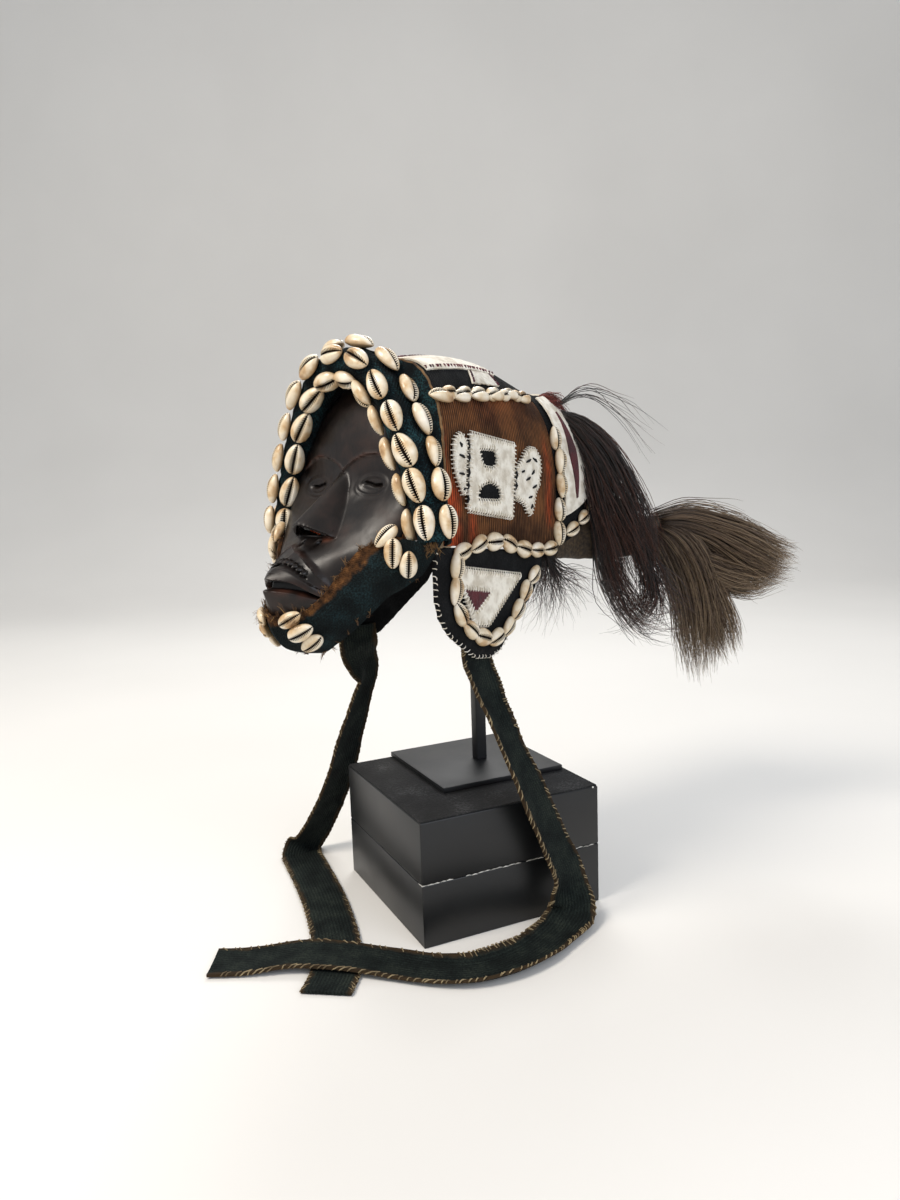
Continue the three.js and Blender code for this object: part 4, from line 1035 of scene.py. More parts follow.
def border():
    """A roll of indigo cloth, puckered where the shells are sewn on, with a collar back to the hood."""
    def place(u, v):
        normal = arch_normal(u, 360 * v)
        point = arch(u) + normal * BORDER_RADIUS
        pucker = noise.noise(point / 8) * 1.3 + noise.noise(point / 3.2) * 0.55
        return point + normal * (pucker - 0.8)
    roll = tube("border_roll", place, 180, 36)
    edge = evenly(hood_front_edge)[0]

    def collar_place(u, v):
        start = arch(u) + arch_normal(u, outer_degrees(u) + 20) * (BORDER_RADIUS - 0.6)
        point = start.lerp(edge(u) + Vector((0, -0.4, 0)), v)
        out = arch_normal(u, 100)
        return point + out * (1.6 * math.sin(math.pi * v) + 0.7 * noise.noise(point / 6))
    collar = panel("border_collar", collar_place, 150, 8)
    modify(collar, "SOLIDIFY", thickness=2 * MM, offset=0)
    in_edit_mode(collar, turn_outwards)
    roll = joined("border_roll", [roll, collar])
    smooth(roll, 60)
    cloth = woven("indigo handwoven cloth", "#090e10", "#111c1f", (1.5, 1.5), (ARCH_LENGTH, 75), "#24464b")[0]
    dress(roll, cloth, "indigo_cloth", "hood_border")
    seam = []
    for index in range(111):
        share = index / 110
        lift = 1.4 + 0.4 * math.sin(index * 2.3)
        seam.append(collar_place(share, 0.9) + arch_normal(share, 95) * lift)
    piping = thread("ochre piping cord", "#7d5f3c", "#3f2c1a")
    dress(threads("border_seam", [seam], 0.9), piping, "indigo_cloth")


# The face

# The carving's lines: distance across from the middle, and height
BROW = [(0, 335.5), (4.5, 339), (10.6, 342.3), (20, 345.5), (31, 346), (41, 343.5), (50, 338)]
# The crease from one corner of the mouth to the other, over the lip; its peak lies beyond the middle
MUZZLE_RIDGE = [
    (-32, 260.4), (-28, 267), (-21, 277), (-14, 286.5), (-6, 284.8), (5.6, 282.4), (12.8, 279.2),
    (21.6, 273.6), (28, 266.8), (32, 260.4),
]
NOSTRILS = [(-6.6, 287.4), (9.6, 287.8)]
NOSE_SIDE = [(6, 334), (8.5, 327.8), (10.2, 318.2), (13, 309), (18, 299.4), (22, 291)]
EYE = (29.5, 325.5)
EYEBALL_HALF = (12, 5.4)
EYELID_HALF = (14.4, 7.6)
TOOTH_RADIUS = 1.6
NOSTRIL_RADIUS = 1.7
# The mouth's carving lies below this height, and the eyes' above it
MOUTH_HIGH = 296
# Rows of the face's mesh lie closest together on the mouth, and then on the eyes
FACE_ROW_HEIGHT = through([
    (0, FACE_LOW), (0.06, 232), (0.12, 244), (0.3, 262), (0.45, 276), (0.6, 291), (0.66, 300), (0.71, 311),
    (0.78, 322), (0.85, 333), (0.91, 346), (0.96, 370), (1, FACE_HIGH),
])
BROW_LINE = through(BROW)
RIDGE_LINE = through(MUZZLE_RIDGE)
TEETH = [(2.6, 277.6), (6.6, 276.6), (10.6, 274.8), (14.4, 272.7), (18, 270.3)]
LIP_TOP = through([(0, 274.8), (6.9, 273.9), (13.6, 271.2), (19.9, 266.9), (26.5, 261.1), (31, 256.5)])
LIP_LOW = through([(0, 266.2), (7, 265.6), (14, 263.9), (19.8, 260.8), (25.9, 256), (30, 253.6)])
MOUTH_LOW = through([(0, 260.8), (7, 260.2), (14.4, 258.8), (20.1, 256.6), (26, 254.4), (30, 252.8)])


def from_line(point, line):
    """How far a point of the face is from a line drawn on it, and how far along it is."""
    best, share = 1e9, 0.0
    for index, (start, end) in enumerate(zip(line, line[1:])):
        gap = (end[0] - start[0], end[1] - start[1])
        size = gap[0] ** 2 + gap[1] ** 2
        rest = clamp(((point[0] - start[0]) * gap[0] + (point[1] - start[1]) * gap[1]) / size)
        away = math.hypot(point[0] - start[0] - gap[0] * rest, point[1] - start[1] - gap[1] * rest)
        if away < best:
            best, share = away, (index + rest) / (len(line) - 1)
    return best, share


def between(value, low, high, soft):
    """One between two limits, sloping to nothing within soft of each."""
    return clamp((value - low) / soft) * clamp((high - value) / soft)


def eye_relief(out, z):
    """The brow with the dip under it, the eyeball in its two lids, and the slit across it."""
    brow, share = from_line((out, z), BROW)
    under = clamp((BROW_LINE(out) - z) / 1.3) * clamp((z - 304) / 26) * clamp((56 - out) / 12)
    along, up = out - EYE[0], z - EYE[1]
    ball = math.hypot(along / EYEBALL_HALF[0], up / EYEBALL_HALF[1])
    lid = math.hypot(along / EYELID_HALF[0], (up + 0.6) / EYELID_HALF[1])
    slit = up + 0.12 * along + 0.5 * math.sin(out / 2.2)
    height = 0.8 * bump(brow, 1.0) * (1 - share ** 3) - 1.5 * under
    height += 0.9 * bump(ball - 1, 0.14) + 0.9 * max(1 - ball * ball, 0) + 0.5 * bump(lid - 1, 0.07)
    return height - 2.8 * bump(slit, 0.8) * clamp((9.5 - abs(along)) / 2)


def mouth_relief(across, z):
    """The creases from the mouth's corners, the lips and the gap between them, the teeth and nostrils."""
    out = abs(across)
    ridge, share = from_line((across, z), MUZZLE_RIDGE)
    plane = clamp(1 - ridge / (20 if z < RIDGE_LINE(across) else 0.8))
    ends = clamp(9 * min(share, 1 - share) + 0.3)
    top, low, mouth = LIP_TOP(out), LIP_LOW(out), MOUTH_LOW(out)
    tooth = max(clamp(TOOTH_RADIUS - math.hypot(out - a, z - b) / 1.25) for a, b in TEETH)
    nostril = max(bump(math.hypot(across - a, z - b), NOSTRIL_RADIUS) for a, b in NOSTRILS)
    height = (2.0 * plane + 1.1 * bump(ridge, 0.55)) * ends
    height += 2.6 * between(z, low, top, 1.0) * clamp((31.5 - out) / 3)
    height += 2.6 * clamp((mouth - z) / 1.1) * clamp((z - 236) / 22) * clamp((34 - out) / 8)
    height -= 5.2 * between(z, mouth - 0.5, low + 0.5, 1.0) * clamp((30 - out) / 2)
    height -= 2.2 * bump(z - top - 0.5, 0.8) * clamp((21 - out) / 2)
    return height + 2.4 * tooth - 5.0 * nostril


def relief(across, z):
    """How far the carving stands out of the face, in millimetres, with the carver's uneven surface."""
    out = abs(across)
    height = noise.noise(Vector((across / 16, z / 16, 3.1))) * 0.6
    height += noise.noise(Vector((across / 5, z / 5, 9.2))) * 0.14
    nose, share = from_line((out, z), NOSE_SIDE)
    height -= 0.45 * bump(nose, 0.6) * clamp(share * 5)
    if z > MOUTH_HIGH:
        height += eye_relief(out, z)
    if z < MOUTH_HIGH:
        height += mouth_relief(across, z)
    return height


def face():
    """One piece of wood, carved and rubbed smooth."""
    def place(u, v):
        z = FACE_ROW_HEIGHT(v)
        across = math.copysign(abs(2 * u - 1) ** 1.25, u - 0.5) * face_half(z)
        high = (z - FACE_LOW) / (FACE_HIGH - FACE_LOW)
        edge = clamp((1 - abs(2 * u - 1)) * 8) * clamp(high * 16) * clamp((1 - high) * 16)
        return Vector((CENTRE_X + across, face_front(across, z) - relief(across, z) * edge, z))
    mask = panel("carved_face", place, 168, 224)
    open_nose(mask)
    modify(mask, "SOLIDIFY", thickness=FACE_THICK * MM, offset=-1)

    def worn(point):
        """Where the dye is rubbed off the wood: the lips, brows and ridges, and a patch by the nose; the thin
        line on the muzzle ridge is partly a painted highlight.
        """
        across = abs(point.x - CENTRE_X)
        patch = bump(math.hypot((point.x - CENTRE_X - 15) / 4, (point.z - 290.6) / 1.6), 1.0)
        lips = bump(point.z - mix(263, 257, clamp(across / 31)), 4.5) * clamp((32 - across) / 6)
        brow = bump(from_line((across, point.z), BROW)[0], 1.0)
        # the muzzle ridge's thin line: partly rubbed wear, partly a painted highlight on its crest
        ridge = bump(from_line((point.x - CENTRE_X, point.z), MUZZLE_RIDGE)[0], 0.6)
        rubbed = clamp(0.4 + 0.9 * noise.noise(point / 8))
        return 0.9 * patch + rubbed * (0.45 * lips + 0.4 * brow + 0.2 * ridge)

    def painted_shade(point):
        """Painted shade, near black where no light gets in: the mask's inside, its eye slits, its mouth and
        nostrils.
        """
        side = point.x - CENTRE_X
        if point.y > face_front(side, point.z) + 3.2:
            return 1
        across = abs(side)
        slit = bump(point.z - EYE[1], 0.8) * clamp((9 - abs(across - EYE[0])) / 2)
        mouth = between(point.z, MOUTH_LOW(across), LIP_LOW(across), 1.0) * clamp((30 - across) / 2)
        gaps = bump(point.z - LIP_TOP(across) - 0.6, 0.8) * clamp((20 - across) / 2)
        nostril = max(bump(math.hypot(side - a, point.z - b), 1.9) for a, b in NOSTRILS)
        return 0.8 * slit + 0.7 * mouth + 0.7 * gaps + nostril
    paint(mask, "worn", worn)
    paint(mask, "painted_shade", painted_shade)
    smooth(mask, 50)
    dress(mask, carved_wood(), "mask_wood", "face_mask")


def open_nose(mask):
    """Take away the faces inside the sliced nose's hole, and bring their edge onto the hole's outline."""
    def inside(across, z):
        low, tip = NOSE_HOLE[0][1], NOSE_HOLE[2][1]
        return low < z < tip and abs(across) < NOSE_HOLE[1][0] * (tip - z) / (tip - low)

    pick(mask)
    data = mask.data
    data.polygons.foreach_set("select", [False] * len(data.polygons))
    data.edges.foreach_set("select", [False] * len(data.edges))
    data.vertices.foreach_set("select", [False] * len(data.vertices))
    rim = set()
    for face in data.polygons:
        middle = face.center / MM
        if inside(middle.x - CENTRE_X, middle.z):
            face.select = True
            rim.update(face.vertices)
    corners = NOSE_HOLE + [NOSE_HOLE[0]]
    for index in rim:
        point = data.vertices[index].co / MM
        away, share = from_line((point.x - CENTRE_X, point.z), corners)
        if away < 1.0:
            place = share * 3
            side = min(int(place), 2)
            start, end = corners[side], corners[side + 1]
            rest = place - side
            across, z = mix(start[0], end[0], rest), mix(start[1], end[1], rest)
            data.vertices[index].co = Vector((CENTRE_X + across, face_front(across, z), z)) * MM
    bpy.ops.object.mode_set(mode="EDIT")
    bpy.ops.mesh.select_mode(type="FACE")
    bpy.ops.mesh.delete(type="FACE")
    bpy.ops.mesh.select_mode(type="VERT")
    bpy.ops.object.mode_set(mode="OBJECT")


def prism(name, outline, thick):
    """An outline filled and drawn up, flat on the ground plane."""
    obj = primitive(name, bpy.ops.mesh.primitive_circle_add, vertices=len(outline), fill_type="NGON")
    for vertex, (a, b) in zip(obj.data.vertices, outline):
        vertex.co = Vector((a, b, 0)) * MM
    lift = {"value": (0, 0, thick * MM)}
    in_edit_mode(obj, lambda: bpy.ops.mesh.extrude_region_move(TRANSFORM_OT_translate=lift),
                 lambda: bpy.ops.mesh.select_all(action="SELECT"), turn_outwards)
    return obj


# The hood and its cloth

def crease(surface, depth, size, side=1):
    """A surface with the soft unevenness of sewn cloth; side is -1 where its normal points inwards."""
    def place(u, v):
        point = surface(u, v)
        return point + surface_normal(surface, u, v) * side * depth * noise.noise(point / size)
    return place


def hood():
    """Two ribbed side panels, the crown and the rounded back, and the cloth strip under the jaw."""
    brown = ribbed_cloth()
    black = woven("black woven cloth", "#0b0c0d", "#161718", (1.4, 1.4), (150, 150), "#212223", 0.4)[0]

    def worn(point):
        """Where the orange dye is left: up the front edge, in two folds, and faintly below the top seam."""
        u = along_hood(point.y)
        v = (point.z - hem_z(point.y)) / (seam_z(point.y) - hem_z(point.y))
        front = clamp((0.15 - u) / 0.1) * clamp((0.52 - v) / 0.16)
        strip = 0.4 * clamp((0.05 - u) / 0.04) * clamp((0.85 - v) / 0.2)
        low_front = 0.6 * bump(u - 0.22, 0.03) * clamp((0.36 - v) / 0.14)
        rear = 0.5 * bump(u - 0.93, 0.03) * clamp((0.8 - v) / 0.2) * clamp((v - 0.1) / 0.1)
        middle = 0.1 * bump(u - 0.5, 0.3) * clamp((v - 0.75) / 0.2)
        return max(front, low_front, rear, strip, middle)
    side = thick_panel("hood_side_cloth_left", crease(side_surface, 1.1, 26), 70, 44, CLOTH_THICK, -1)
    paint(side, "worn", worn)
    far = mirrored(side, "hood_side_cloth_right")
    dress(side, brown, "brown_cloth", "hood_side_left")
    dress(far, brown, "brown_cloth", "hood_side_right")
    crown = thick_panel("crown_cloth", crease(crown_surface, 1.0, 24, -1), 70, 50, CLOTH_THICK, 1)
    dress(crown, black, "black_cloth", "hood_crown")
    back = thick_panel("back_cloth", crease(back_surface, 1.0, 24), 90, 50, CLOTH_THICK, -1)
    dress(back, black, "black_cloth", "hood_back")
    jaw = thick_panel("jaw_cloth_strip", crease(jaw_surface, 1.6, 15), 130, 26, CLOTH_THICK, -1)
    dress(jaw, jaw_weave(), "indigo_cloth", "jaw_cloth")
    return black


# Felt and stitches

FLAP_OUTLINE = [
    (124, 270.4), (0, 283.2), (-11, 283), (-13.5, 268), (-13.5, 250.2), (-9.7, 236.7), (0.4, 223.5),
    (17.5, 211.6), (30.3, 203.6), (49.4, 200.6), (61, 202.6), (73.1, 211.1), (92.1, 225.9), (111.8, 240.5),
    (125, 258.1),
]
FLAP_FELT = [(8.1, 269.2), (90.3, 255.1), (45.8, 224.3), (26.7, 226.9)]
FLAP_RED = [(15.5, 253.8), (48.4, 247.8), (28.5, 235.9)]
SIDE_CENTRE = [(29, 357.7), (85.5, 350.1), (78.6, 297.6), (22.6, 306.1)]
UPPER_CUTOUT = [(38.5, 347.3), (58.4, 346.2), (60.4, 338), (55.2, 333.3), (43.8, 334.5), (40.3, 339)]
LOWER_CUTOUT = [
    (35.4, 312.3), (36.3, 319), (41, 323), (50.9, 324.5), (59.6, 321.8), (64.1, 316.1), (62.7, 310.5),
]
FRONT_WING = [
    (9, 351.1), (13.3, 355.4), (18.5, 356.8), (21.9, 354.1), (24.4, 349.8), (22.6, 338.4), (20.8, 319.9),
    (18.1, 316), (12.8, 324.4), (9.1, 333), (8.1, 344.2),
]
REAR_WING = [
    (87, 334.7), (92.7, 337.4), (99.3, 343.9), (107.1, 347.4), (115.1, 346.6), (120.7, 339.8),
    (120.7, 330.9), (117.9, 325.3), (118.3, 321.2), (112.6, 315.8), (109, 305.5), (105.2, 298.3),
    (100.9, 299.5), (96.5, 306.9), (88.1, 310.4), (83, 311.5),
]
# Black stitches on the wings, and along the seams on each side of the centre piece, from end to end
WING_MARKS = [
    ((14, 343), (20, 341)), ((13, 331), (19, 330)), ((15, 351), (17, 348)), ((17, 321), (19, 320)),
    ((99, 337), (106, 339)), ((109, 340), (115, 337)), ((98, 324), (104, 326)), ((107, 318), (113, 320)),
    ((101, 311), (106, 312)), ((92, 330), (96, 331)), ((106, 328), (110, 331)), ((104, 303), (106, 306)),
]
SEAM_MARKS = [
    ((24, 352), (25.5, 347)), ((25, 344), (24.5, 338)), ((24.5, 334), (23.5, 328)), ((23, 325), (22.5, 320)),
    ((22.5, 316), (21.5, 311)), ((85, 331), (84, 325)), ((84, 323), (83.5, 318)),
]
LOZENGES = 9


def cut_piece(name, outline, holes, place, low, high, cell):
    """Cloth or felt cut to an outline, its edges softened by cells of a size, and laid on its backing."""
    thick = 3 * cell
    body = prism(name, outline, thick)
    for index, hole in enumerate(holes):
        tool = prism(f"{name}_hole_{index}", hole, thick * 3)
        tool.data.transform(Matrix.Translation((0, 0, -thick * MM)))
        modify(body, "BOOLEAN", object=tool, operation="DIFFERENCE", solver="EXACT")
        bpy.data.objects.remove(tool)
    modify(body, "REMESH", mode="VOXEL", voxel_size=cell * MM, adaptivity=0)
    modify(body, "SMOOTH", factor=0.5, iterations=3)
    for vertex in body.data.vertices:
        back, up, out = vertex.co / MM
        point = place(back, up, mix(low, high, out / thick))
        vertex.co = (point + SIDE_NORMAL * 0.25 * noise.noise(point / 2.5)) * MM
    smooth(body)
    return body


def edge_places(outline, pitch, closed):
    """Places at a pitch round an outline, each with the direction in from its edge."""
    corners = [Vector((*corner, 0)) for corner in outline]
    area = sum(a.x * b.y - b.x * a.y for a, b in zip(corners, corners[1:] + corners[:1]))
    pairs = list(zip(corners, corners[1:] + (corners[:1] if closed else [])))
    places = []
    for start, end in pairs:
        count = max(round((end - start).length / pitch), 1)
        inward = Vector((start.y - end.y, end.x - start.x, 0)).normalized() * (1 if area > 0 else -1)
        for index in range(count):
            places.append((start.lerp(end, (index + 0.5) / count), inward))
    return places


def whip_stitches(name, outline, place, off, pitch, reach, radius=0.5, closed=True, lean=0.5, over=1.5):
    """Short threads from outside a cut edge, over it and in by a reach; a negative one goes out instead."""
    rng = random.Random(name)
    lines = []
    for corner, inward in edge_places(outline, pitch, closed):
        along = Vector((inward.y, -inward.x, 0))
        slant = lean * rng.uniform(-0.3, 1.3)
        far = reach * rng.uniform(0.7, 1.25)
        outside = -math.copysign(1.0, reach)
        lines.append([
            place(*(corner + inward * outside * over).xy, off - 1.9),
            place(*(corner + inward * outside * over * 0.5 + along * 0.2 * slant).xy, off + 0.2),
            place(*(corner + inward * far * 0.5 + along * slant).xy, off + 0.65),
            place(*(corner + inward * far + along * 2 * slant).xy, off - 0.1),
        ])
    return threads(name, lines, radius, 0.8)


def both_sides(piece, material, slot, *nodes):
    """Dress a left piece and its right twin."""
    twin = mirrored(piece, piece.name.replace("_left", "_right"))
    dress(piece, material, slot, *[f"{node}_left" for node in nodes])
    dress(twin, material, slot, *[f"{node}_right" for node in nodes])
    return piece, twin


def applique(black):
    """The ear flaps, the felt and patches sewn on them and on the side panels, and all their stitches."""
    white = felt("off-white wool felt", "#e6e0d2", "#c3b9a7")
    red = felt("dark red wool felt", "#4f1019", "#350b12")
    white_thread = thread("white cotton thread", "#f0eade", "#cfc6b4")
    black_thread = thread("black cotton thread", "#121214", "#0b0b0c")
    flap = cut_piece("ear_flap_cloth_left", FLAP_OUTLINE, [], off_flap, -2.6, 0, 1.6)
    for piece in both_sides(flap, black, "black_cloth", "ear_flap"):
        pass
    pieces = [
        ("side_felt_centre", SIDE_CENTRE, [UPPER_CUTOUT, LOWER_CUTOUT], off_side, 1.2, 3.2, white),
        ("side_felt_front", FRONT_WING, [], off_side, 1.2, 3.2, white),
        ("side_felt_rear", REAR_WING, [], off_side, 1.2, 3.2, white),
        ("side_patch_upper", UPPER_CUTOUT, [], off_side, 0.6, 2.2, black),
        ("side_patch_lower", LOWER_CUTOUT, [], off_side, 0.6, 2.2, black),
        ("flap_felt", FLAP_FELT, [], off_flap, 0.2, 1.9, white),
        ("flap_red", FLAP_RED, [], off_flap, 1.9, 2.9, red),
    ]
    for node, outline, holes, place, low, high, material in pieces:
        slot = "white_felt" if material is white else "red_felt" if material is red else "black_cloth"
        piece = cut_piece(f"{node}_piece_left", outline, holes, place, low, high, 0.9)
        both_sides(piece, material, slot, node)
    stitched = [
        ("stitches_centre_left", SIDE_CENTRE, off_side, 3.1, 3.2),
        ("stitches_front_left", FRONT_WING, off_side, 3.1, 2.8),
        ("stitches_rear_left", REAR_WING, off_side, 3.1, 3.0),
        ("stitches_upper_left", UPPER_CUTOUT, off_side, 3.1, -3.2),
        ("stitches_lower_left", LOWER_CUTOUT, off_side, 3.1, -3.2),
        ("stitches_flap_felt_left", FLAP_FELT, off_flap, 1.9, 3.4),
        ("stitches_flap_red_left", FLAP_RED, off_flap, 2.4, -2.8),
    ]
    for name, outline, place, off, reach in stitched:
        both_sides(whip_stitches(name, outline, place, off, 3.0, reach), white_thread, "white_felt")
    hem = whip_stitches("stitches_flap_hem_left", FLAP_OUTLINE[2:12], off_flap, 0.2, 5.0, 2.2, 0.32,
                        closed=False, lean=1.2, over=0.5)
    both_sides(hem, white_thread, "white_felt")
    dashes = []
    for a, b in WING_MARKS + SEAM_MARKS:
        middle = (a[0] + b[0]) / 2, (a[1] + b[1]) / 2
        dashes.append([off_side(*a, 3.2), off_side(*middle, 3.9), off_side(*b, 3.2)])
    both_sides(threads("black_dashes_left", dashes, 1.0, 0.6), black_thread, "black_cloth")
    crown_trim(white)
    back_trim(white, red)


def crown_trim(white):
    """The felt band along the crown with an arm down to each seam, edged with dark red thread."""
    red_thread = thread("dark red thread", "#5d1a2a", "#33101a")
    (arm_start, arm_end), arm_along = CROWN_ARM
    areas = {
        "crown_felt": (CROWN_BAND, 26),
        "crown_felt_arm_left": (CROWN_ARM, 10),
        "crown_felt_arm_right": (((1 - arm_start, 1 - arm_end), arm_along), 10),
    }
    for node, (((u0, u1), (v0, v1)), count) in areas.items():
        is_arm = "arm" in node

        def place(u, v, off=0.0):
            spread = 1 + (0.3 * (1 - u) if is_arm else 0.04 * math.sin(v * 40))
            cv = (v0 + v1) / 2 + (mix(v0, v1, v) - (v0 + v1) / 2) * spread
            cu = mix(u0, u1, u)
            return crown_surface(cu, cv) - surface_normal(crown_surface, cu, cv) * (1.0 + off)

        def uneven(u, v):
            return place(u, v, 0.25 * noise.noise(Vector((u * 30, v * 40, 1))))
        piece = thick_panel(f"{node}_piece", uneven, 60, 44, 1.2, turned=True)
        dress(piece, white, "white_felt", node)
        rng = random.Random(node)
        lines = []
        for edge, inner in ((0.02, 0.07), (0.98, 0.93), (0.42, 0.47), (0.58, 0.53)):
            for index in range(count):
                v = (index + rng.uniform(0.2, 0.8)) / count
                start, end = ((v, edge), (v + 0.02, inner)) if is_arm else ((edge, v), (inner, v + 0.01))
                if is_arm and 0.1 < edge < 0.9:
                    continue
                middle = (start[0] + end[0]) / 2, (start[1] + end[1]) / 2
                lines.append([place(*start, 0.3), place(*middle, 1.1), place(*end, 0.3)])
        dress(threads(f"{node}_stitches", lines, 0.6, 0.8), red_thread, "red_felt")


def back_trim(white, red):
    """The felt round the back of the hood, with dark red lozenges."""
    def place(u, v, off=0.0):
        share = mix(BACK_FELT_START, 1 - BACK_FELT_START, u)
        height = mix(0.15, 0.8, v)
        return back_surface(share, height) + surface_normal(back_surface, share, height) * (2.3 + off)

    def uneven(u, v):
        return place(u, v, 0.3 * noise.noise(Vector((u * 60, v * 25, 2))))
    piece = thick_panel("back_felt_piece", uneven, 110, 30, 1.4, turned=True)
    dress(piece, white, "white_felt", "back_felt")
    for index in range(LOZENGES):
        middle = (index + 0.5) / LOZENGES

        def lozenge(u, v):
            across = (2 * u - 1) * (1 - abs(2 * v - 1) * 0.85)
            return place(middle + 0.022 * across, mix(0.1, 0.8, v), 1.1)
        red_piece = thick_panel(f"back_lozenge_{index}", lozenge, 8, 14, 0.9, turned=True)
        dress(red_piece, red, "red_felt")


# The straps

# Each strap's middle line from behind its ear flap, and the way across it at each of those points
LEFT_STRAP = [
    (54.6, -42.5, 212), (55, -42.5, 199), (61.5, -43, 184), (69, -41, 164), (74, -32, 139), (82, -24, 113),
    (88, -14, 85), (92, -4, 60), (96, 3, 40), (98, 4, 24), (102, 1, 12), (103, -10, 5),
    (105, -28, STRAP_LYING), (107, -52, STRAP_LYING), (103, -76, STRAP_LYING), (92, -97, STRAP_LYING),
    (76, -110, STRAP_LYING), (50, -124, STRAP_LYING + 1), (20, -142, STRAP_CROSSING),
    (-9, -163, STRAP_CROSSING), (-31, -187, STRAP_LYING + 0.5), (-50, -206, STRAP_LYING),
]
LEFT_WIDTHS = [
    (-0.16, 0.99, 0), (-0.16, 0.99, 0), (-0.2, 0.98, 0), (-0.3, 0.95, 0), (-0.3, 0.95, 0), (-0.25, 0.97, 0),
    (-0.22, 0.97, 0.1), (-0.2, 0.97, 0.1), (-0.1, 0.98, 0.2), (0.2, 0.95, 0.2), (0.6, 0.75, 0.15),
    (0.9, 0.4, 0.05), (1, 0.05, 0), (1, -0.1, 0), (0.93, -0.36, 0), (0.75, -0.66, 0), (0.6, -0.8, 0),
    (0.52, -0.85, 0), (0.58, -0.81, 0), (0.68, -0.73, 0), (0.72, -0.69, 0), (0.72, -0.69, 0),
]
RIGHT_STRAP = [
    (-76.6, -42.5, 212), (-77, -42, 199), (-84.5, -34, 184), (-92, -23, 168), (-98, -27, 145),
    (-108, -32, 112), (-122, -33, 77), (-138, -38, 43), (-149, -45, 19), (-154, -51, 7),
    (-150, -58, STRAP_LYING), (-138, -64, STRAP_LYING), (-118, -73, STRAP_LYING), (-90, -86, STRAP_LYING),
    (-60, -101, STRAP_LYING), (-28, -119, STRAP_LYING), (0, -137, STRAP_LYING), (22, -155, STRAP_LYING),
    (38, -176, STRAP_LYING),
]
RIGHT_WIDTHS = [
    (-0.16, -0.99, 0), (-0.14, -0.99, 0), (0.2, -0.98, 0), (0.42, -0.9, 0), (0.35, -0.93, 0),
    (0.2, -0.98, 0), (0.1, -0.99, 0), (0, -1, 0), (-0.1, -0.99, 0), (-0.2, -0.98, 0), (-0.3, -0.95, 0),
    (-0.38, -0.92, 0), (-0.4, -0.91, 0), (-0.42, -0.9, 0), (-0.46, -0.88, 0), (-0.5, -0.86, 0),
    (-0.58, -0.81, 0), (-0.7, -0.71, 0), (-0.8, -0.6, 0),
]


def strap_place(path, widths, cup):
    """A point of a strap by the shares along and across it; cup says how far its edges lift along it."""
    line, turning = curve_through(path), curve_through(widths)

    def place(u, v, off=0.0):
        along = (line(min(u + 0.003, 1)) - line(max(u - 0.003, 0))).normalized()
        across = turning(u)
        across = (across - along * across.dot(along)).normalized()
        up = along.cross(across).normalized()
        edge = 2 * v - 1
        ripple = 0.8 * noise.noise(Vector((u * 22, v * 2, len(path))))
        lift = cup(u) * (edge * edge - 0.3) + ripple + off
        point = line(u) + across * (edge * STRAP_WIDTH / 2) + up * lift
        point.z = max(point.z, 0.75 + STRAP_THICK / 2 + off * 0.6)
        return point
    return place


def left_cup(u):
    """How far the near strap's edges lift along it: as it hangs, and where it crosses the other."""
    return clamp(10 * u) * (3.5 * bump(u - 0.14, 0.1) + 7.5 * bump(u - 0.66, 0.12) + 1.0)


def right_cup(u):
    """How far the far strap's edges fold back along it, mostly as it hangs."""
    return -clamp(10 * u) * (4.0 * bump(u - 0.16, 0.14) + 3.0 * bump(u - 0.4, 0.1))


def straps():
    """Two strips of cloth down from behind the ear flaps and along the floor, overcast with tan thread."""
    cloth = strap_weave()
    tan = thread("tan overcast thread", "#8f7f60", "#5a4c36")
    shapes = {
        "strap_left": (LEFT_STRAP, LEFT_WIDTHS, 0.53, left_cup, "ear_flap_left"),
        "strap_right": (RIGHT_STRAP, RIGHT_WIDTHS, 0.45, right_cup, "ear_flap_right"),
    }
    for node, (path, widths, length, cup, flap) in shapes.items():
        place = strap_place(path, widths, cup)
        strap = thick_panel(f"{node}_cloth", place, 190, 12, STRAP_THICK, degrees=50)
        dress(strap, cloth, "strap_cloth", node)
        rng = random.Random(node)
        lines = []
        count = round(length / (STITCH_PITCH * MM))
        for edge_v, sign in ((0.0, -1), (1.0, 1)):
            for index in range(count):
                if rng.random() < 0.14:
                    continue
                u = (index + rng.uniform(0.1, 0.9)) / count
                slant = rng.uniform(0.2, 0.9) / count
                inner = edge_v - sign * rng.uniform(0.05, 0.11)
                lines.append([
                    place(clamp(u - slant), inner, 1.2),
                    place(clamp(u), edge_v - sign * 0.01, 1.35),
                    place(clamp(u + slant * 0.5), edge_v + sign * 0.016, 0.1),
                    place(clamp(u + slant), edge_v - sign * 0.01, -1.3),
                ])
        edging = dress(threads(f"{node}_overcast", lines, 0.45, 0.8), tan, "strap_cloth")


# Hair and hide

def add_strand(middle, radius, shade, points, faces, shades):
    """A three-sided strand round a line of points, thinner and lighter towards its tip."""
    base, steps = len(points), len(middle) - 1
    for index, centre in enumerate(middle):
        ahead = middle[min(index + 1, steps)] - middle[max(index - 1, 0)]
        across = ahead.cross(Vector((0.3, 0.2, 0.93))).normalized()
        other = ahead.cross(across).normalized()
        size = radius * (1 - 0.85 * (index / steps) ** 2)
        for turn in (0, 2.094, 4.189):
            corner = centre + across * (size * math.cos(turn)) + other * (size * math.sin(turn))
            points.append(corner * MM)
            shades.append(clamp(shade + 0.4 * index / steps))
    for index in range(steps):
        low = base + 3 * index
        for k in range(3):
            faces.append((low + k, low + (k + 1) % 3, low + 3 + (k + 1) % 3, low + 3 + k))
    top = base + 3 * steps
    faces.append((base + 2, base + 1, base))
    faces.append((top, top + 1, top + 2))


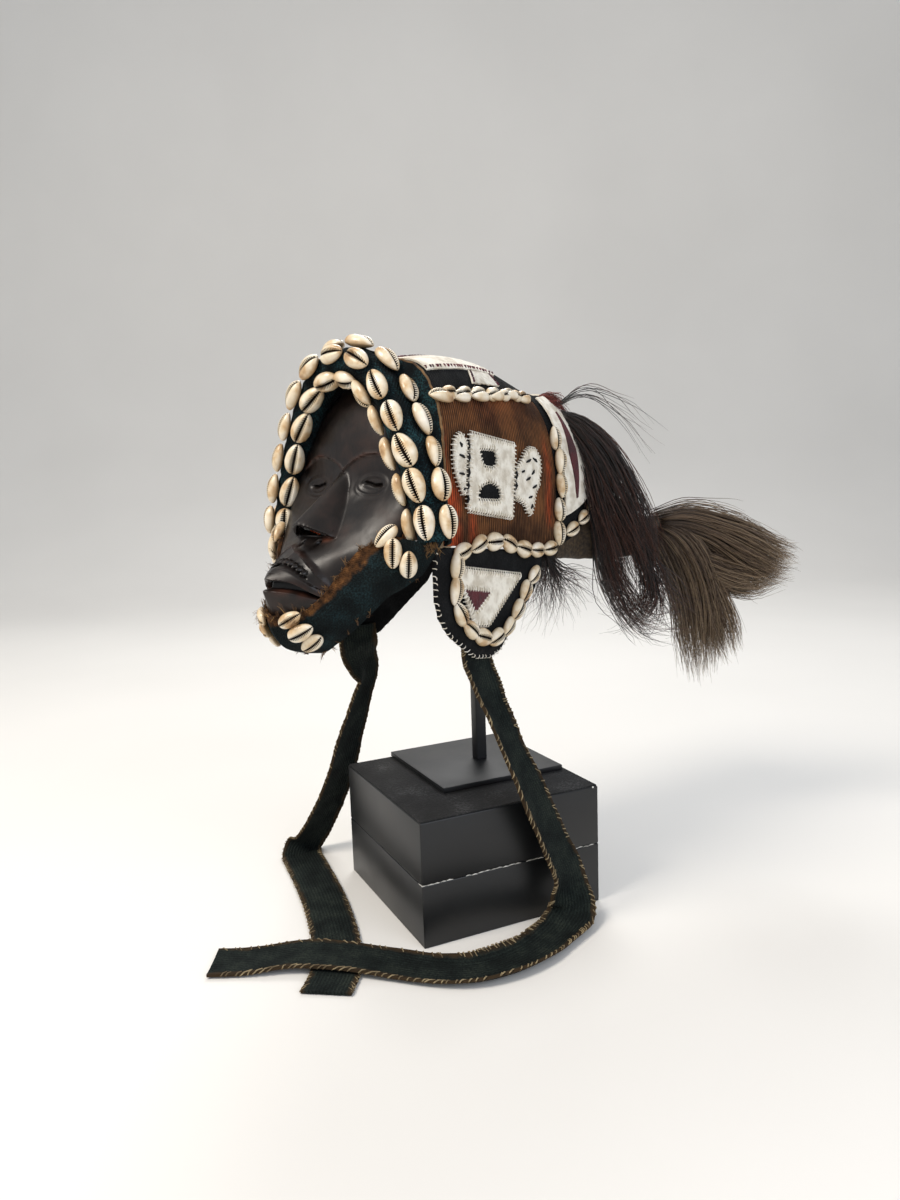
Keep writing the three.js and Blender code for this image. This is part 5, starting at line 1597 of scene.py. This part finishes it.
def strands(name, locks, seed, thick, material, slot, *nodes):
    """Thin three-sided strands. A lock is a line of points, its half widths, a count and how wild it is."""
    rng = random.Random(seed)
    steps = 11
    points, faces, shades = [], [], []
    for path, widths, count, wild in locks:
        line = curve_through(path)
        spread = through([(i / (len(widths) - 1), width) for i, width in enumerate(widths)])
        overall = (Vector(path[-1]) - Vector(path[0])).normalized()
        side = overall.cross(Vector((0.7, -0.7, 0.1))).normalized()
        deep = overall.cross(side).normalized()
        for _ in range(count):
            angle, reach = rng.uniform(0, 2 * math.pi), math.sqrt(rng.random())
            a, b = reach * math.cos(angle), reach * math.sin(angle)
            end = rng.uniform(0.72, 1.0)
            start = rng.uniform(0.0, 0.05)
            shade = rng.uniform(0.0, 0.6) + (0.35 if rng.random() < 0.08 else 0)
            wave = [rng.uniform(-1, 1) * wild for _ in range(6)]
            radius = thick * rng.uniform(0.7, 1.3)
            middle = []
            for index in range(steps + 1):
                share = mix(start, end, index / steps)
                width = spread(share)
                curl = Vector(wave[:3]) * share * share * 7
                curl += Vector(wave[3:]) * math.sin(share * 11 + wave[0] * 3) * share * 2.6
                middle.append(line(share) + side * (a * width) + deep * (b * width) + curl)
            add_strand(middle, radius, shade, points, faces, shades)
    data = bpy.data.meshes.new(name)
    data.from_pydata(points, [], faces)
    obj = new_object(name, data)
    layer = data.attributes.new("shade", "FLOAT", "POINT")
    layer.data.foreach_set("value", shades)
    in_edit_mode(obj, turn_outwards)
    smooth(obj)
    return dress(obj, material, slot, *nodes)


def all_hair():
    """The hair tufts, the fibre at their root, the hide they are tied to, and frayed threads at the jaw."""
    dark = animal_hair("long dark tail hair", "#0b0807", "#1f1511", "#5a3323")
    grey = animal_hair("grey-brown tail hair", "#2b1f17", "#604d3a", "#9c876b", 0.6)
    strands("dark_hair", [
        ([(20, 92, 378), (32, 104, 368), (46, 118, 344), (56, 129, 314), (65, 139, 284), (70, 146, 260),
          (72, 149, 236)], [3, 10, 16, 18, 17, 13, 10], 440, 1.8),
        ([(18, 92, 382), (30, 102, 366), (42, 110, 338), (50, 114, 306), (56, 120, 276), (62, 126, 250),
          (66, 132, 226)], [3, 6, 9, 9, 8, 8, 8], 110, 1.8),
        ([(20, 94, 376), (28, 104, 358), (37, 115, 326), (44, 124, 290), (50, 131, 250), (62, 142, 218),
          (78, 152, 200)], [3, 7, 9, 9, 9, 9, 10], 200, 1.6),
        ([(40, 120, 300), (44, 124, 262), (52, 132, 226), (70, 146, 198), (90, 160, 196)],
         [6, 8, 10, 10, 12], 110, 2.6),
        ([(58, 132, 306), (70, 144, 262), (76, 150, 226), (70, 144, 208), (60, 134, 210)],
         [8, 8, 8, 8, 10], 120, 2.8),
        ([(60, 140, 282), (74, 152, 246), (84, 160, 222), (92, 168, 208)], [6, 10, 12, 16], 90, 3.2),
        ([(21, 92, 380), (40, 108, 392), (62, 130, 376), (82, 148, 344)], [2, 5, 9, 12], 14, 2.0),
    ], 5, 0.34, dark, "dark_hair", "tuft_dark")
    strands("grey_hair", [
        ([(62, 176, 280), (72, 186, 270), (82, 196, 246), (88, 203, 212), (90, 205, 180), (91, 206, 148)],
         [12, 19, 22, 22, 18, 11], 760, 1.2),
        ([(70, 184, 272), (84, 198, 248), (96, 209, 216), (104, 218, 186), (108, 222, 164)],
         [12, 17, 18, 16, 10], 460, 1.2),
        ([(64, 178, 284), (80, 194, 284), (100, 214, 274), (120, 234, 258), (136, 250, 246),
          (144, 258, 244)], [9, 12, 15, 20, 19, 14], 900, 1.2),
        ([(70, 186, 262), (88, 204, 248), (106, 222, 236), (122, 238, 232), (138, 254, 238)],
         [10, 13, 17, 16, 12], 560, 1.2),
        ([(60, 170, 288), (84, 196, 294), (112, 224, 282), (132, 242, 264)], [6, 10, 12, 14], 50, 1.6),
        ([(76, 190, 262), (98, 212, 240), (118, 232, 228), (130, 246, 224)], [8, 14, 15, 15], 60, 1.8),
    ], 9, 0.34, grey, "grey_hair", "tuft_grey")
    strands("nape_hair", [
        ([(37, 58, 270), (37, 60, 252), (37, 61, 234), (34, 60, 210)], [3, 8, 13, 15], 130, 2.6),
        ([(37, 58, 267), (44, 68, 250), (52, 77, 240), (60, 85, 227)], [3, 7, 12, 16], 60, 2.8),
    ], 3, 0.24, dark, "dark_hair", "tuft_small")
    wad = animal_hair("red-brown fibre", "#2a0f0c", "#54201a", "#7a3328", 0.8)
    strands("root_fibre", [
        ([(7, 84, 380), (12, 88, 385), (18, 93, 384), (25, 99, 377)], [4, 7, 7, 3], 380, 1.0),
        ([(10, 82, 379), (16, 90, 382), (22, 96, 378)], [5, 8, 6], 260, 1.4),
    ], 7, 0.42, wad, "red_fibre", "tuft_root")
    hide_line = curve_through([
        (30, 76, 276), (28.5, 94, 275), (27, 112, 272.5), (34, 128, 272), (50, 155, 272), (66, 181, 273),
    ])

    def hide_place(u, v):
        turn = 2 * math.pi * v
        forward = (hide_line(min(u + 0.02, 1)) - hide_line(max(u - 0.02, 0))).normalized()
        across = Vector((forward.y, -forward.x, 0)).normalized()
        flat = math.copysign(abs(math.cos(turn)) ** 0.8, math.cos(turn))
        high = math.copysign(abs(math.sin(turn)) ** 0.6, math.sin(turn))
        point = hide_line(u) + across * (mix(6, 8.5, u) * flat) + Vector((0, 0, 16.5 * high))
        return point + Vector((0, 0, 1)) * 0.6 * noise.noise(point / 6)
    hide = tube("hide_piece", hide_place, 44, 30)
    smooth(hide, 50)
    dress(hide, dried_hide(), "hide", "hide_tail")
    fray = animal_hair("frayed brown threads", "#33210f", "#5a3c1e", "#94703f", 0.85)
    rng = random.Random(21)
    tufts = []
    frays = 90
    for index in range(frays):
        u = (index + rng.random()) / frays
        edge_v = rng.choice((0.01, 0.01, 0.98))
        start = jaw_surface(u, edge_v)
        lean = Vector((rng.gauss(0, 1.2), rng.gauss(-1.0, 0.9), rng.gauss(1.0, 1.6)))
        tufts.append(([start, start + lean, start + lean * 2.0], [0.8, 1.2, 1.6], 6, 0.25))
    for u in (0.385, 0.615):
        start = jaw_surface(u, 0.1)
        tufts.append(([start, start + Vector((0, -3, -1)), start + Vector((0, -6, -4))], [3, 4, 5], 60, 0.6))
    for side in (1, -1):
        start = Vector((CENTRE_X + 82 * side, -98, 289))
        lean = Vector((side, -1, -4))
        tufts.append(([start, start + lean, start + lean * 2], [3, 4, 5], 60, 0.6))
    strands("jaw_fray", tufts, 13, 0.22, fray, "indigo_cloth")


# Camera, light and floor, all in metres

FLOOR_WIDTH = 8
FLOOR_LENGTH = 7
FLOOR_IN_FRONT = 1.6


def camera():
    """The photograph's view, solved from the edges of the base and the plate."""
    data = bpy.data.cameras.new("view")
    data.lens = 27.0
    data.sensor_width = 36.0
    data.clip_start = 0.01
    obj = new_object("view", data)
    heading = Matrix.Rotation(math.radians(45), 4, "Z")
    dip = Matrix.Rotation(math.radians(90 - 8.10), 4, "X")
    roll = Matrix.Rotation(math.radians(-2), 4, "Z")
    obj.matrix_world = Matrix.Translation((0.4826, -0.4948, 0.332)) @ heading @ dip @ roll
    bpy.context.scene.camera = obj


def lamp(name, place, aim, size, watts, colour):
    data = bpy.data.lights.new(name, "AREA")
    data.shape = "DISK"
    data.size = size
    data.energy = watts
    data.color = linear(colour)[:3]
    turned = (Vector(aim) - Vector(place)).to_track_quat("-Z", "Y").to_matrix().to_4x4()
    new_object(name, data).matrix_world = Matrix.Translation(place) @ turned


def studio():
    """A pale floor that curves up into a wall behind the object, and soft lamps."""
    grid = bpy.ops.mesh.primitive_grid_add
    floor = primitive("studio_floor", grid, x_subdivisions=60, y_subdivisions=40, size=1)
    flat, radius = 3.2, 1.2
    for vertex in floor.data.vertices:
        across, back = vertex.co.x * FLOOR_WIDTH, (vertex.co.y + 0.5) * FLOOR_LENGTH
        if back < flat:
            y, z = back, 0.0
        elif back < flat + radius * math.pi / 2:
            turn = (back - flat) / radius
            y, z = flat + radius * math.sin(turn), radius * (1 - math.cos(turn))
        else:
            y, z = flat + radius, radius + back - flat - radius * math.pi / 2
        vertex.co = (across, y - FLOOR_IN_FRONT, z)
    floor.data.transform(Matrix.Rotation(math.radians(45), 4, "Z"))
    smooth(floor)
    made, tree, shader, where = start_material("pale painted floor", 0.7)
    cloud = add_node(tree, "TexNoise", {"Vector": where["Object"], "Scale": 1.5, "Detail": 3})
    tone = add_node(tree, "ValToRGB", {"Fac": cloud}, [(0.3, "#dedcd8"), (0.7, "#e4e2de")])
    set_inputs(tree, shader, {"Base Color": tone})
    floor.data.materials.append(made)
    lamp("key", (-0.25, -1.35, 1.75), (0, 0, 0.28), 0.8, 34, "#fff6ea")
    lamp("fill", (1.7, -0.2, 1.1), (0, 0, 0.25), 1.4, 14, "#eaf1ff")
    lamp("rim", (-0.9, 1.0, 1.6), (0, 0, 0.3), 0.9, 16, "#ffffff")
    world = bpy.data.worlds.new("studio")
    bpy.context.scene.world = world
    world.use_nodes = True
    tree = world.node_tree
    set_inputs(tree, tree.nodes["Background"], {"Color": "#dfe2e6", "Strength": 0.7})
    bpy.context.scene.view_settings.view_transform = "Standard"


camera()
studio()
stand()
face()
border()
black_cloth = hood()
applique(black_cloth)
straps()
all_shells()
all_hair()
